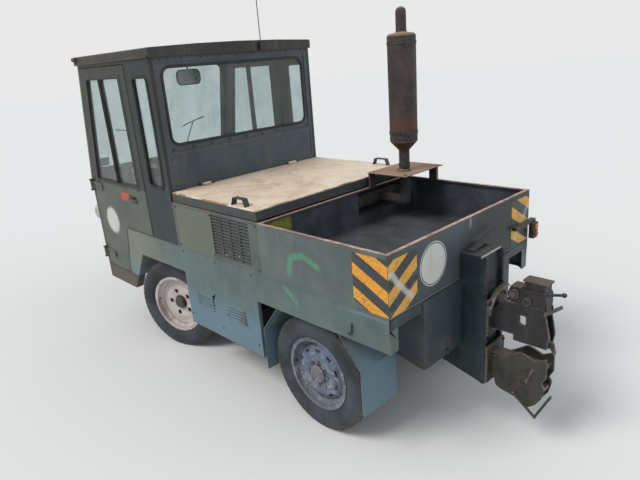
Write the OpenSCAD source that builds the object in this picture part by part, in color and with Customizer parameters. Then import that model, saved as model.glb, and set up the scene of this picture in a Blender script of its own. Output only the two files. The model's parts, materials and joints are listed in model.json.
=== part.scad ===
// Cab tow tractor with an open load bed, an upright exhaust and two rear couplings.
// X runs forward, Y to the driver's left and Z up. Heights are above the ground.
// Lengths are measured forward from the rear face of the load bed.

/* [Body] */
// Width over the body sides
body_w = 1360; // [1300:10:1420]
// Length of the load bed
bed_l = 918; // [880:1:940]
// Height of the load bed's rim
bed_rim_z = 1198; // [1180:1:1240]
// Height of the load bed's floor
bed_floor_z = 956; // [930:1:1000]
// Height of the seam between bed and lower body
seam_z = 890; // [880:1:900]
// Height of the lower body's edge over the rear wheels
rear_edge_z = 704; // [700:1:730]
// Height of the front arches
arch_z = 707; // [700:1:720]
// Height of the side skirts' lower edge
skirt_z = 326; // [250:1:400]
// Thickness of a pressed sheet
sheet_t = 4; // [3:0.5:6]
// Thickness of a double-skinned cab wall
wall_t = 25; // [22:1:28]
// Top of the engine lid
lid_z = 1266; // [1256:1:1280]
// Depth of the engine lid's edge
lid_edge = 61; // [50:1:66]
// Slots in each column of a grille
grille_rows = 13; // [9:1:13]
// Columns of slots in a grille
grille_columns = 4; // [2:1:5]

/* [Cab] */
// Rear wall of the cab, from the bed's rear face
cab_x0 = 1820; // [1800:1:1840]
// Front of the cab
cab_x1 = 3087; // [3060:1:3120]
// Setback of the windscreen's top
rake = 175; // [140:1:200]
// Height where the windscreen starts
waist_z = 1245; // [1200:1:1260]
// Height of the cab's top edge
eaves_z = 2114; // [2100:1:2150]
// Depth of the roof's edge
roof_t = 61; // [50:1:80]
// Crown of the roof over its edge
crown = 14; // [5:1:25]
// Overhang of the roof at the sides
roof_over = 7; // [4:1:15]
// Height of the sill's top
sill_z = 497; // [480:1:510]
// Height of the sill's lower edge
sill_z0 = 371; // [350:1:400]
// Rear edge of the door's upper part
door_x0 = 2175; // [2160:1:2190]
// Height of the cab's seat deck
deck_z = 722; // [720:1:735]
// Gap around doors
door_gap = 5; // [5:0.5:8]
// Width of the windscreen's centre post
post_w = 44; // [30:1:60]
// Radius of the corners of windscreen panes and rear window
pane_r = 60; // [30:1:80]

/* [Wheels] */
// Radius of a tyre
tyre_r = 345; // [340:1:350]
// Width of a tyre
tyre_w = 150; // [144:1:156]
// Place of the rear axle
rear_x = 585; // [575:1:600]
// Place of the front axle
front_x = 2163; // [2150:1:2175]
// Distance of a rim's outer flange from the centre line
rim_y = 624; // [615:1:628]
// Distance of a kingpin from the centre line
kingpin_y = 455; // [445:1:460]
// Steering angle at which the wheels stand, to the left
steer_rest = 17; // [0:1:30]
// Radius of a kingpin
kingpin_r = 18; // [14:0.5:20]
// Radius of a stub axle
stub_r = 22; // [18:0.5:26]
// Wheel bolts or bolt holes in a front rim
front_holes = 5; // [4:1:6]
// Hand holes in a rear rim
rear_holes = 10; // [6:1:12]
// Running clearance of pins and bearings
run = 0.1; // [0.05:0.01:0.1]

/* [Couplings] */
// Width of the coupling tower
tower_w = 190; // [170:1:210]
// Depth of the coupling tower
tower_l = 126; // [115:1:135]
// Top of the coupling tower
tower_z1 = 1033; // [1000:1:1050]
// Foot of the coupling tower
tower_z0 = 306; // [280:1:330]
// Radius of the upper coupling's pin
hitch_pin_r = 15; // [12:0.5:18]
// Radius of the bores for the lower coupling's drop pin
hitch_bore_r = 16; // [13:0.5:19]
// Height of the middle of the upper coupling's mouth
upper_z = 693; // [685:1:705]
// Height of the middle of the lower coupling's mouth
lower_z = 416; // [410:1:422]

/* [Exhaust] */
// Place of the upright exhaust along the body
stack_x = 728; // [715:1:740]
// Distance of the upright exhaust from the centre line, to the right
stack_y = 425; // [410:1:440]
// Radius of the silencer
silencer_r = 88; // [75:1:95]
// Radius of the exhaust pipe
pipe_r = 34; // [28:1:38]
// Height of the silencer's foot
silencer_z0 = 1490; // [1450:1:1550]
// Top of the silencer
silencer_z1 = 2134; // [2000:1:2200]
// Top of the tail pipe
tail_z = 2290; // [2250:1:2350]
// Height of the exhaust plate
plate_z = 1294; // [1285:1:1310]

/* [Hidden] */
$fn = 64;
half = body_w / 2;

// Colours
olive = [0.28, 0.31, 0.25];
blue_green = [0.20, 0.25, 0.24];
grey_green = [0.33, 0.38, 0.36];
black_iron = [0.12, 0.12, 0.13];
clear = [0.7, 0.78, 0.78, 0.35];

// Frame
rail_in = 185;
rail_out = 255;
rail_z0 = 505;
rail_z1 = 625;
nose_z = 400;
cross_w = 50;
drop_w = 16;
bearer_z = 826;
beam_w = 40;
beam_h = 52;
back_plate_w = 862;
back_plate_t = 12;
bearer_xs = [60, bed_l - 118];
deck_post_xs = [cab_x0 + 30, front_x + 327];

// Sheet metal
flange_w = wall_t;
skirt_x0 = rear_x + 408;
skirt_x1 = front_x - 370;
arch_x1 = front_x + 239;
arch_x2 = front_x + 470;
bed_t = 6;
rim_w = 22;
rim_h = 12;
lid_gap = 5;
lid_inset = 8;
lid_x0 = bed_l + lid_gap;
lid_x1 = cab_x0 - 8;
lid_hinge_ys = [-400, 400];
lid_hinge_w = 80;
lid_hinge_r = 9;
lid_pin_r = 5;
lid_pin_x = lid_x1 - 4;
lid_pin_z = lid_z + 6;
side_z1 = lid_z - lid_edge - lid_gap;
floor_t = 6;
step_x = front_x + 437;
rail_end = step_x - floor_t;
recess_d = 8;
guard_in = 385;
guard_x = rear_x - 385;
guard_fold_z = tyre_r + 185;
guard_z = 255;
house_in = 430;

// Grille
grille_x0 = bed_l + 82;
grille_l = 373;
grille_z0 = seam_z + 30;
grille_pitch = 20;
blade_w = 15;
blade_tilt = 32;

// Doors
door_t = 30;
door_in = half - door_t;
door_x1 = cab_x1 - wall_t - door_gap;
door_top = eaves_z - 20 - door_gap;
door_mid_x = step_x - 2;
door_low_x = door_mid_x + 85;
door_pane_x0 = door_x0 + 103;
door_pane_w = 297;
door_pane_bar = 20;
door_pane_z0 = waist_z + 5;
door_pane_z1 = eaves_z - 106;
hinge_x = door_x1 + 11;
hinge_y = half + 14;
hinge_r = 12;
hinge_pin_r = 6;
hinge_zs = [sill_z + 110, waist_z - 56];
hinge_h = 70;
door_handle_z = waist_z - 100;
quarter_pane = [cab_x0 + 65, door_x0 - 100, waist_z + 34, eaves_z - 110];
glass_t = 5;

// Windscreen
screen_tilt = atan2(rake, eaves_z - waist_z);
screen_l = norm([rake, eaves_z - waist_z]);
screen_edge = 60;

// Cab fittings
wheel_x = step_x + 70;
wheel_y = 300;
wheel_z = waist_z - 65;
wheel_r = 200;
column_tilt = 20;
column_r = 25;
dash_x = cab_x1 - 137;
dash_z = waist_z - 20;
dash_h = 165;
seat_x0 = cab_x0 + 220;
seat_l = 460;
seat_w = 460;
seat_back_h = 560;
mirror_x = door_low_x + 107;
mirror_y = -190;

// Wheels
rim_r = 202.7;
flange_r = 221;
rim_depth = 114;
tyre_mid = rim_y - rim_depth / 2;
hub_r = 44;
axle_z = tyre_r;
boss_r = 38;
boss_h = 100;
yoke_t = 20;
yoke_gap = 1;
yoke_z0 = axle_z - boss_h / 2 - yoke_gap - yoke_t;
arm_l = 130;
rod_r = 14;
drum_r = 140;
// Outline of half a tyre: radius and distance from its middle plane
tyre_half = [[203, 51], [224, 51.5], [232, 62], [255, 71], [285, tyre_w / 2], [312, tyre_w / 2 - 4],
    [332, tyre_w / 2 - 15], [tyre_r, tyre_w / 2 - 27]];
tyre_out = kingpin_y + max([for (p = tyre_half)
    p[0] * sin(steer_rest) + (tyre_mid + p[1] - kingpin_y) * cos(steer_rest)]);

// Couplings and lamps
tower_y = -5;
ladder_d = 24;
ladder_w = 18;
coupling_x = -520;
hitch_x = -400;
upper_mouth = 170;
lower_mouth = 102;
cheek_t = 12;
cheek_in = 26;
lip_t = 18;
lower_in = 38;
lamp_outer = 43;
tail_lamp_y = half + lamp_outer;
lamp_x = cab_x1 + 85;
lamp_r = 85;
antenna_z = 2640;
handle_x0 = grille_x0 + 33;
handle_l = 133;
handle_h = 46;
handle_w = 38;
handle_t = 5;
handle_lean = 18;

// The origin lies under the middle of the whole machine
shift_x = -(coupling_x + lamp_x) / 2;
shift_y = (tail_lamp_y - tyre_out) / 2;

// The front face's place at a height
function front_at(z) = cab_x1 - (z > waist_z ? (z - waist_z) * rake / (eaves_z - waist_z) : 0);
function arch_at(z) = arch_x1 + (arch_z - z) * (arch_x2 - arch_x1) / (arch_z - sill_z0);
function door_front(z) = front_at(z) - wall_t - door_gap;

module placed() translate([shift_x, shift_y, 0]) children();
module bar(x0, x1, y0, y1, z0, z1) translate([x0, y0, z0]) cube([x1 - x0, y1 - y0, z1 - z0]);
module rod_x(y, z, r, x0, x1) translate([x0, y, z]) rotate([0, 90, 0]) cylinder(r = r, h = x1 - x0);
module rod_y(x, z, r, y0, y1) translate([x, y0, z]) rotate([-90, 0, 0]) cylinder(r = r, h = y1 - y0);
module rod_z(x, y, r, z0, z1) translate([x, y, z0]) cylinder(r = r, h = z1 - z0);
// A round rod between two points of x and z
module rod_xz(p, q, y, r)
    translate([p[0], y, p[1]]) rotate([0, atan2(q[0] - p[0], q[1] - p[1]), 0]) cylinder(r = r, h = norm(q - p));
// A side view outline of x and z, between two distances from the centre line
module slab(outline, y0, y1) translate([0, y1, 0]) rotate([90, 0, 0]) linear_extrude(y1 - y0) polygon(outline);
// A rear view outline of y and z, between two places along the body
module rib(outline, x0, x1) translate([x0, 0, 0]) rotate([90, 0, 90]) linear_extrude(x1 - x0) polygon(outline);
// One side of the machine: 1 is left, -1 is right
module on_side(s) if (s > 0) children(); else mirror([0, 1, 0]) children();
module both_sides() { children(); mirror([0, 1, 0]) children(); }
module round_rect(x0, x1, y0, y1, r) {
    translate([x0 + r, y0]) square([x1 - x0 - 2 * r, y1 - y0]);
    translate([x0, y0 + r]) square([x1 - x0, y1 - y0 - 2 * r]);
    for (x = [x0 + r, x1 - r], y = [y0 + r, y1 - r]) translate([x, y]) circle(r);
}
// A space with round corners, seen from the side
module side_window(x0, x1, z0, z1, r, y0, y1)
    translate([0, y1, 0]) rotate([90, 0, 0]) linear_extrude(y1 - y0) round_rect(x0, x1, z0, z1, r);

// Chassis: two box rails with their cross members and the lower rails under the foot floor
module frame_rails() {
    placed() color([0.14, 0.16, 0.15]) {
        both_sides() {
            bar(0, rail_end, rail_in, rail_out, rail_z0, rail_z1);
            bar(rail_end - drop_w, rail_end, rail_in, rail_out, nose_z, rail_z0);
            bar(rail_end, cab_x1 - wall_t, rail_in, rail_out, nose_z, sill_z);
        }
        for (x = [bearer_xs[0], deck_post_xs[0], deck_post_xs[1]])
            bar(x, x + cross_w, -rail_in, rail_in, rail_z0 + 20, rail_z1);
        bar(cab_x1 - 127, cab_x1 - 77, -rail_in, rail_in, nose_z + 10, sill_z - 10);
    }
}

// Posts on the rails, cross bearers under bed and deck, the rear beam and its plate
module bed_bearers() {
    placed() color([0.14, 0.16, 0.15]) {
        both_sides() {
            for (x = bearer_xs) bar(x, x + cross_w, rail_in, rail_out, rail_z1, bearer_z);
            for (x = deck_post_xs) bar(x, x + cross_w, rail_in, rail_out, rail_z1, deck_z);
        }
        for (x = bearer_xs) {
            bar(x, x + cross_w, -half + sheet_t, half - sheet_t, bearer_z, seam_z - sheet_t);
            bar(x, x + cross_w, -half + flange_w + 5, half - flange_w - 5, bearer_z, bed_floor_z - bed_t);
        }
        bar(-back_plate_t, 0, -back_plate_w / 2, back_plate_w / 2, rail_z0, bearer_z + beam_h);
        both_sides() slab([[-1, rail_z0], [-1, bearer_z], [guard_x, bearer_z], [guard_x, rail_z0 + 44]],
            back_plate_w / 2 - 6, back_plate_w / 2);
        for (z = [rail_z0 + 17, rail_z0 + 77]) rod_x(232, z, 14, -back_plate_t - 8, 1 - back_plate_t);
        bar(0, beam_w, -half + sheet_t, half - sheet_t, bearer_z, bearer_z + beam_h);
        bar(beam_w, bearer_xs[0], -rail_out, rail_out, bearer_z, bearer_z + beam_h);
    }
}

// Front beam and side sills
module bumper() {
    placed() color([0.30, 0.26, 0.20]) {
        bar(cab_x1 - wall_t, cab_x1, -half, half, sill_z0, sill_z);
        both_sides() slab([[arch_at(sill_z), sill_z], [arch_at(sill_z0), sill_z0],
            [cab_x1, sill_z0], [cab_x1, sill_z]], half - 60, half);
    }
}

// A leaf spring under a rail, its eyes at the rail and its middle on a seat
module leaf_spring(cx, seat) {
    leaf = 9;
    count = 5;
    reach = 390;
    eye_r = 20;
    eye_z = rail_z0 - 24;
    rise = eye_z - seat - leaf * (count - 0.5);
    step = reach / 10;
    for (i = [0 : count - 1]) {
        ends = 10 - 2 * i;
        base = seat + leaf * (count - 1 - i);
        slab([for (k = [-ends : 2 : ends]) [cx + k * step, base + rise * pow(k / 10, 2)],
            for (k = [ends : -2 : -ends]) [cx + k * step, base + leaf + rise * pow(k / 10, 2)]],
            rail_in + 5, rail_out - 5);
    }
    bar(cx - 40, cx + 40, rail_in + 5, rail_out - 5, seat - 6, seat + leaf * count + 10);
    for (s = [-1, 1]) {
        rod_y(cx + s * reach, eye_z, eye_r, rail_in, rail_out);
        bar(cx + s * reach - 15, cx + s * reach + 15, rail_in, rail_out, eye_z, rail_z0);
    }
}

// Front axle: an I-beam with a kingpin boss at each end, on two springs
module front_axle() {
    placed() color(black_iron) {
        for (z = [axle_z - 40, axle_z + 26])
            bar(front_x - 35, front_x + 35, -kingpin_y + boss_r - 8, kingpin_y - boss_r + 8, z, z + 14);
        bar(front_x - 8, front_x + 8, -kingpin_y + boss_r - 8, kingpin_y - boss_r + 8, axle_z - 40, axle_z + 40);
        both_sides() {
            difference() {
                rod_z(front_x, kingpin_y, boss_r, axle_z - boss_h / 2, axle_z + boss_h / 2);
                rod_z(front_x, kingpin_y, kingpin_r + run, axle_z - boss_h, axle_z + boss_h);
            }
            leaf_spring(front_x, axle_z + 40);
        }
    }
}

// Rear axle: tube, differential housing, stub ends and propeller shaft, on two springs
module rear_axle() {
    shaft_x = rear_x + 190;
    gearbox_x = bed_l - 48;
    placed() color(black_iron) {
        rod_y(rear_x, axle_z, 50, -440, 440);
        both_sides() {
            rod_y(rear_x, axle_z, stub_r, 430, rim_y - 28);
            rod_y(rear_x, axle_z, drum_r, 436, 442);
            bar(rear_x - 40, rear_x + 40, rail_in + 5, rail_out - 5, axle_z, axle_z + 60);
            leaf_spring(rear_x, axle_z + 60);
        }
        translate([rear_x, 0, axle_z]) rotate([90, 0, 0]) rotate_extrude()
            polygon([[0, -150], [62, -150], [112, -112], [136, -60], [drum_r, 0], [136, 60],
                [112, 112], [62, 150], [0, 150]]);
        rod_x(0, axle_z, 60, rear_x + 100, shaft_x);
        rod_xz([shaft_x - 10, axle_z], [gearbox_x, 420], 0, 30);
    }
}

// Engine and gearbox as plain blocks between the rails
module engine_block() {
    engine = [bed_l + 162, bed_l + 782, 480, 1040];
    tank_x0 = skirt_x0 + 25;
    tank_l = 660;
    tank_z0 = 385;
    battery_l = 420;
    placed() color([0.22, 0.24, 0.25]) {
        bar(engine[0], engine[1], -150, 150, engine[2], engine[3]);
        bar(engine[0] - 80, engine[0] + 10, -95, 95, 330, engine[2] + 140);
        rod_x(0, 420, 95, bed_l - 18, engine[0]);
        both_sides() for (x = [engine[0] + 70, engine[1] - 120])
            bar(x, x + 60, 140, 235, rail_z1, rail_z1 + 30);
        // Fuel tank on the left and battery box on the right, hung on the rails
        translate([tank_x0, 0, 0]) rotate([90, 0, 90]) linear_extrude(tank_l)
            round_rect(rail_out, half - 40, tank_z0, rail_z1 - 5, 40);
        bar(tank_x0, tank_x0 + battery_l, -half + 60, -rail_out, tank_z0 + 30, rail_z1 - 5);
    }
}

// Side of the lower body: skirt, wheel openings and front wing with folded edges, and a rear guard
module lower_body(s) {
    inner = half - flange_w;
    louvre_z = skirt_z + 170;
    louvre_pitch = 21;
    corner_w = 62;
    placed() color(grey_green) on_side(s) {
        slab([[0, rear_edge_z], [skirt_x0, rear_edge_z], [skirt_x0, skirt_z], [skirt_x1, skirt_z],
            [skirt_x1, arch_z], [arch_x1, arch_z], [arch_at(sill_z), sill_z],
            [door_low_x - door_gap, sill_z], [door_mid_x - door_gap, seam_z], [0, seam_z]],
            half - sheet_t, half);
        bar(0, skirt_x0, inner, half, rear_edge_z, rear_edge_z + sheet_t);
        bar(skirt_x0, skirt_x0 + sheet_t, inner, half, skirt_z, rear_edge_z + sheet_t);
        bar(skirt_x0, skirt_x1, inner, half, skirt_z, skirt_z + sheet_t);
        bar(skirt_x1 - sheet_t, skirt_x1, inner, half, skirt_z, arch_z + sheet_t);
        bar(skirt_x1 - sheet_t, arch_x1 + sheet_t, inner, half, arch_z, arch_z + sheet_t);
        bar(0, door_mid_x - door_gap, inner, half, seam_z - sheet_t, seam_z);
        slab([[arch_x1, arch_z], [arch_at(sill_z), sill_z], [arch_at(sill_z) + sheet_t, sill_z],
            [arch_x1 + sheet_t, arch_z + sheet_t]], house_in, half);
        slab([[door_low_x - door_gap, sill_z], [door_mid_x - door_gap, seam_z],
            [door_mid_x - door_gap - sheet_t, seam_z], [door_low_x - door_gap - sheet_t, sill_z]], inner, half);
        // Pressed louvres on the skirt, in two groups
        for (x = [skirt_x0 + 140, skirt_x0 + 484], i = [0 : 4]) translate([0, 0, louvre_z + i * louvre_pitch])
            rib([[half - 1, 0], [half + 6, 2], [half + 6, 5], [half - 1, 17]], x, x + 180);
        // Guards behind and before the rear wheel, folded over it to the body's edge
        for (t = [0, 1]) translate([2 * rear_x * t, 0, 0]) mirror([t, 0, 0])
            slab([[guard_x, guard_z], [guard_x, guard_fold_z], [guard_x + 148, rear_edge_z + sheet_t],
                [guard_x + 154, rear_edge_z + sheet_t], [guard_x + sheet_t, guard_fold_z - 2],
                [guard_x + sheet_t, guard_z]], guard_in, half - sheet_t);
        // Folded rear corner under the bed
        bar(0, sheet_t, half - corner_w, half, rear_edge_z, bearer_z);
    }
}
module lower_body_left() lower_body(1);
module lower_body_right() lower_body(-1);

// Seat deck over the front wheels, its front riser and the foot floor
module cab_floor() {
    placed() color([0.16, 0.18, 0.17]) {
        bar(cab_x0, step_x, -half + sheet_t, half - sheet_t, deck_z, deck_z + floor_t);
        bar(step_x - floor_t, step_x, -door_in + 10, door_in - 10, sill_z, deck_z + floor_t);
        bar(step_x - floor_t, cab_x1 - wall_t, -door_in + 10, door_in - 10, sill_z, sill_z + floor_t);
    }
}

// Places children on the slope of the windscreen: X runs out of the glass and Z up along it
module on_screen() translate([cab_x1, 0, waist_z]) rotate([0, -screen_tilt, 0]) children();
// The left pane's space, from one depth behind the front face to another
module screen_pane(from, to) on_screen() translate([-to, 0, 0]) rotate([90, 0, 90])
    linear_extrude(to - from) round_rect(post_w / 2, half - screen_edge, screen_edge, screen_l - screen_edge, pane_r);

// Front of the cab with its two windscreen openings and the door hinges' fixed halves
module cab_front() {
    knuckle_t = 10;
    placed() color(olive) {
        difference() {
            slab([[cab_x1 - wall_t, sill_z], [cab_x1, sill_z], [cab_x1, waist_z], [front_at(eaves_z), eaves_z],
                [front_at(eaves_z) - wall_t, eaves_z], [cab_x1 - wall_t, waist_z]], -half, half);
            both_sides() screen_pane(-50, 50);
        }
        both_sides() for (zc = hinge_zs) {
            rod_z(hinge_x, hinge_y, hinge_pin_r, zc - hinge_h / 2 - 12, zc + hinge_h / 2 + 12);
            for (z = [zc - hinge_h / 2 - 12, zc + hinge_h / 2 + 2])
                bar(hinge_x - 6, cab_x1, half, hinge_y + hinge_r, z, z + knuckle_t);
        }
    }
}

// Rear wall of the cab: sunk window field with its opening, and a pressed field below
module cab_rear_wall() {
    placed() color(blue_green) {
        difference() {
            union() {
                bar(cab_x0, cab_x0 + wall_t, -half + wall_t, half - wall_t, deck_z + floor_t, eaves_z);
                bar(cab_x0, cab_x0 + wall_t, -half + sheet_t, half - sheet_t, deck_z + floor_t, seam_z - sheet_t);
            }
            bar(cab_x0 - 1, cab_x0 + recess_d, -half + 55, half - 55, rear_pane[2] - 43, eaves_z - 32);
            bar(cab_x0 - 1, cab_x0 + recess_d / 2, -half + 45, half - 45, lid_z + 31, rear_pane[2] - 77);
            translate([cab_x0 - 1, 0, 0]) rear_opening(wall_t + 2);
        }
        for (y = lid_hinge_ys) {
            rod_y(lid_pin_x, lid_pin_z, lid_pin_r, y - lid_hinge_w / 2 - 12, y + lid_hinge_w / 2 + 12);
            for (s = [-lid_hinge_w / 2 - 12, lid_hinge_w / 2 + 2])
                bar(lid_x1 - 10, cab_x0, y + s, y + s + 10, lid_z + 1, lid_z + 12);
        }
    }
}
rear_pane = [-half + 80, half - 80, waist_z + 318, eaves_z - 60];
module rear_opening(depth) rotate([90, 0, 90]) linear_extrude(depth)
    round_rect(rear_pane[0], rear_pane[1], rear_pane[2], rear_pane[3], pane_r);

// Quarter panels between rear wall and door
module quarter(s) {
    placed() color(olive) on_side(s) difference() {
        bar(cab_x0, door_x0 - door_gap, half - wall_t, half, seam_z, eaves_z);
        quarter_opening(half - wall_t - 1, half + 1);
    }
}
module quarter_opening(y0, y1)
    side_window(quarter_pane[0], quarter_pane[1], quarter_pane[2], quarter_pane[3], 24, y0, y1);
module quarter_left() quarter(1);
module quarter_right() quarter(-1);

// Fixed glass: windscreen panes, rear window and quarter windows
module cab_glass() {
    placed() color(clear) {
        both_sides() {
            screen_pane(10, 10 + glass_t);
            quarter_opening(half - 10 - glass_t, half - 10);
        }
        translate([cab_x0 + recess_d + 4, 0, 0]) rear_opening(glass_t);
    }
}

// Doors with their windows, handles and strap hinges
module door(s) {
    strap_l = door_x1 - cab_x1 + 185;
    placed() color(olive) on_side(s) {
        difference() {
            slab([[door_x0, seam_z + door_gap], [door_x0, door_top], [door_front(door_top), door_top],
                [door_x1, waist_z], [door_x1, sill_z + door_gap], [door_low_x, sill_z + door_gap],
                [door_mid_x, seam_z + door_gap]], door_in, half);
            door_panes(door_in - 1, half + 1);
            // Grip pocket behind the handle
            side_window(door_x0 + 145, door_x0 + 215, door_handle_z - 22, door_handle_z + 22, 10,
                half - 14, half + 1);
        }
        // Frame around the panes
        difference() {
            slab(pane_outline(door_pane_x0 - 22, cab_x1, -22), half, half + 3);
            slab(pane_outline(door_pane_x0, cab_x1, 0), half - 1, half + 4);
        }
        // Lever handle on its plate
        bar(door_x0 + 235, door_x0 + 265, half, half + 4, door_handle_z - 22, door_handle_z + 22);
        rod_y(door_x0 + 250, door_handle_z, 9, half, half + 20);
        bar(door_x0 + 140, door_x0 + 258, half + 14, half + 21, door_handle_z - 8, door_handle_z + 8);
        for (zc = hinge_zs) difference() {
            union() {
                bar(door_x1 - strap_l, door_x1 - 7, half, half + 8, zc - 30, zc + 30);
                bar(door_x1 - 10, hinge_x, half + 4, half + 12, zc - hinge_h / 2, zc + hinge_h / 2);
                rod_z(hinge_x, hinge_y, hinge_r, zc - hinge_h / 2, zc + hinge_h / 2);
            }
            rod_z(hinge_x, hinge_y, hinge_pin_r + run, zc - hinge_h, zc + hinge_h);
        }
    }
}
// Side view of a pane between two places, its front edge parallel to the door's, grown by a margin
function pane_outline(x0, x1, inset) = let (z0 = door_pane_z0 + inset, z1 = door_pane_z1 - inset)
    [[x0, z0], [x0, z1], [min(x1, door_front(z1) - 105 - inset), z1], [min(x1, door_front(z0) - 105 - inset), z0]];
module door_panes(y0, y1) {
    slab(pane_outline(door_pane_x0, door_pane_x0 + door_pane_w, 0), y0, y1);
    slab(pane_outline(door_pane_x0 + door_pane_w + door_pane_bar, cab_x1, 0), y0, y1);
}
module door_left() door(1);
module door_right() door(-1);
module door_glass(s) placed() color(clear) on_side(s) door_panes(half - 12 - glass_t, half - 12);
module door_glass_left() door_glass(1);
module door_glass_right() door_glass(-1);

// Roof: crowned tray with a folded edge, gutters, rails over the doors and front marker lamps
module roof() {
    x0 = cab_x0 - 20;
    x1 = front_at(eaves_z) + 38;
    y1 = half + roof_over;
    z1 = eaves_z + roof_t;
    placed() color([0.28, 0.30, 0.22]) {
        difference() {
            rib([[-y1, eaves_z], [y1, eaves_z], [y1, z1 - 8], [y1 - 8, z1], [y1 / 2, z1 + crown * 0.75],
                [0, z1 + crown], [-y1 / 2, z1 + crown * 0.75], [-y1 + 8, z1], [-y1, z1 - 8]], x0, x1);
            bar(cab_x0 + 30, x1 - 73, -half + 30, half - 30, eaves_z - 1, z1 - sheet_t);
        }
        both_sides() {
            bar(door_x0 - door_gap, front_at(eaves_z) - wall_t, half - wall_t, half, eaves_z - 20, eaves_z);
            rib([[y1 - 1, eaves_z], [y1 + 8, eaves_z], [y1 + 8, eaves_z + 14], [y1 + 5, eaves_z + 14],
                [y1 + 5, eaves_z + 3], [y1 - 1, eaves_z + 3]], x0 + 12, x1 - 40);
            rod_x(y1 + 6, z1 - 18, 15, x1 - 70, x1 - 12);
        }
    }
}

// Two seats on boxes on the deck
module seat() {
    cushion_z = deck_z + 158;
    placed() color([0.06, 0.06, 0.06]) for (y = [-wheel_y, wheel_y]) {
        bar(seat_x0 + 20, seat_x0 + 400, y - seat_w / 2 + 40, y + seat_w / 2 - 40, deck_z + floor_t, cushion_z);
        bar(seat_x0, seat_x0 + seat_l, y - seat_w / 2, y + seat_w / 2, cushion_z, cushion_z + 90);
        bar(seat_x0, seat_x0 + 70, y - seat_w / 2, y + seat_w / 2, cushion_z + 90, cushion_z + seat_back_h);
    }
}

// Steering wheel on its sloping column
module steering_wheel() {
    placed() color([0.05, 0.05, 0.05]) translate([wheel_x, wheel_y, wheel_z]) rotate([0, -column_tilt, 0]) {
        rotate_extrude() translate([wheel_r, 0]) circle(14);
        for (a = [30, 150, 270]) rotate([0, 0, a]) rotate([0, 90, 0]) cylinder(r = 9, h = wheel_r - 5);
        rotate_extrude() polygon([[0, -30], [30, -30], [36, -10], [36, 12], [26, 24], [0, 30]]);
    }
}

// Instrument panel, steering column and its foot
module dash() {
    column_l = (wheel_z - sill_z - floor_t - 10) / cos(column_tilt) - 31;
    foot_x = wheel_x + (wheel_z - sill_z - floor_t - 30) * tan(column_tilt);
    stay_z = wheel_z - 70;
    placed() color([0.10, 0.11, 0.11]) {
        slab([[dash_x, dash_z - dash_h + 60], [dash_x - 50, dash_z], [cab_x1 - wall_t, dash_z],
            [cab_x1 - wall_t, dash_z - dash_h]], -door_in + 8, door_in - 8);
        translate([wheel_x, wheel_y, wheel_z]) rotate([0, 180 - column_tilt, 0])
            translate([0, 0, 31]) cylinder(r = column_r, h = column_l);
        bar(foot_x - 50, foot_x + 50, wheel_y - 60, wheel_y + 60, sill_z + floor_t, sill_z + floor_t + 40);
        bar(wheel_x + (wheel_z - stay_z) * tan(column_tilt), cab_x1 - wall_t - 20, wheel_y - 20, wheel_y + 20,
            stay_z - 40, stay_z);
    }
}

// Inside mirror hung from the roof
module cab_mirror() {
    placed() color([0.08, 0.08, 0.08]) {
        translate([mirror_x, mirror_y, eaves_z - 150]) rotate([90, 0, 90]) linear_extrude(14)
            round_rect(-115, 115, -64, 64, 45);
        rod_z(mirror_x + 7, mirror_y, 6, eaves_z - 100, eaves_z + roof_t - sheet_t);
    }
}

// Engine bay sides with their louvred grilles
module engine_side(s) {
    placed() color([0.26, 0.30, 0.28]) on_side(s) {
        difference() {
            bar(bed_l, cab_x0, half - sheet_t, half, seam_z, side_z1);
            bar(grille_x0, grille_x0 + grille_l, half - sheet_t - 1, half + 1, grille_z0,
                grille_z0 + grille_rows * grille_pitch);
        }
        for (r = [0 : grille_rows - 1]) translate([grille_x0 - 1, half - 1, grille_z0 + r * grille_pitch + 1])
            rotate([90 + blade_tilt, 0, 0]) cube([grille_l + 2, blade_w, 2]);
        for (c = [1 : grille_columns - 1])
            bar(grille_x0 + c * grille_l / grille_columns - 5, grille_x0 + c * grille_l / grille_columns + 5,
                half - 7, half - 1, grille_z0 - 1, grille_z0 + grille_rows * grille_pitch + 1);
        bar(bed_l, cab_x0, half - flange_w, half, side_z1 - sheet_t, side_z1);
        bar(bed_l, cab_x0, half - flange_w, half, seam_z, seam_z + sheet_t);
    }
}
module engine_side_left() engine_side(1);
module engine_side_right() engine_side(-1);

// Engine lid, a folded tray hinged at the cab
module engine_lid() {
    y1 = half - lid_inset;
    fold = 5;
    placed() color([0.45, 0.40, 0.34]) {
        difference() {
            rib([[-y1, lid_z - lid_edge], [y1, lid_z - lid_edge], [y1, lid_z - fold], [y1 - fold, lid_z],
                [-y1 + fold, lid_z], [-y1, lid_z - fold]], lid_x0, lid_x1);
            bar(lid_x0 + sheet_t, lid_x1 - sheet_t, -y1 + sheet_t + fold, y1 - sheet_t - fold,
                lid_z - lid_edge - 1, lid_z - sheet_t);
            for (y = lid_hinge_ys)
                bar(lid_x1 - 22, lid_x1 + 1, y - lid_hinge_w / 2 - 20, y + lid_hinge_w / 2 + 20, lid_z - 8, lid_z + 1);
        }
        for (y = lid_hinge_ys) difference() {
            union() {
                rod_y(lid_pin_x, lid_pin_z, lid_hinge_r, y - lid_hinge_w / 2, y + lid_hinge_w / 2);
                bar(lid_x1 - 40, lid_pin_x, y - lid_hinge_w / 2, y + lid_hinge_w / 2, lid_z - 3, lid_z + 2);
            }
            rod_y(lid_pin_x, lid_pin_z, lid_pin_r + run, y - lid_hinge_w, y + lid_hinge_w);
        }
    }
}

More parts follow.
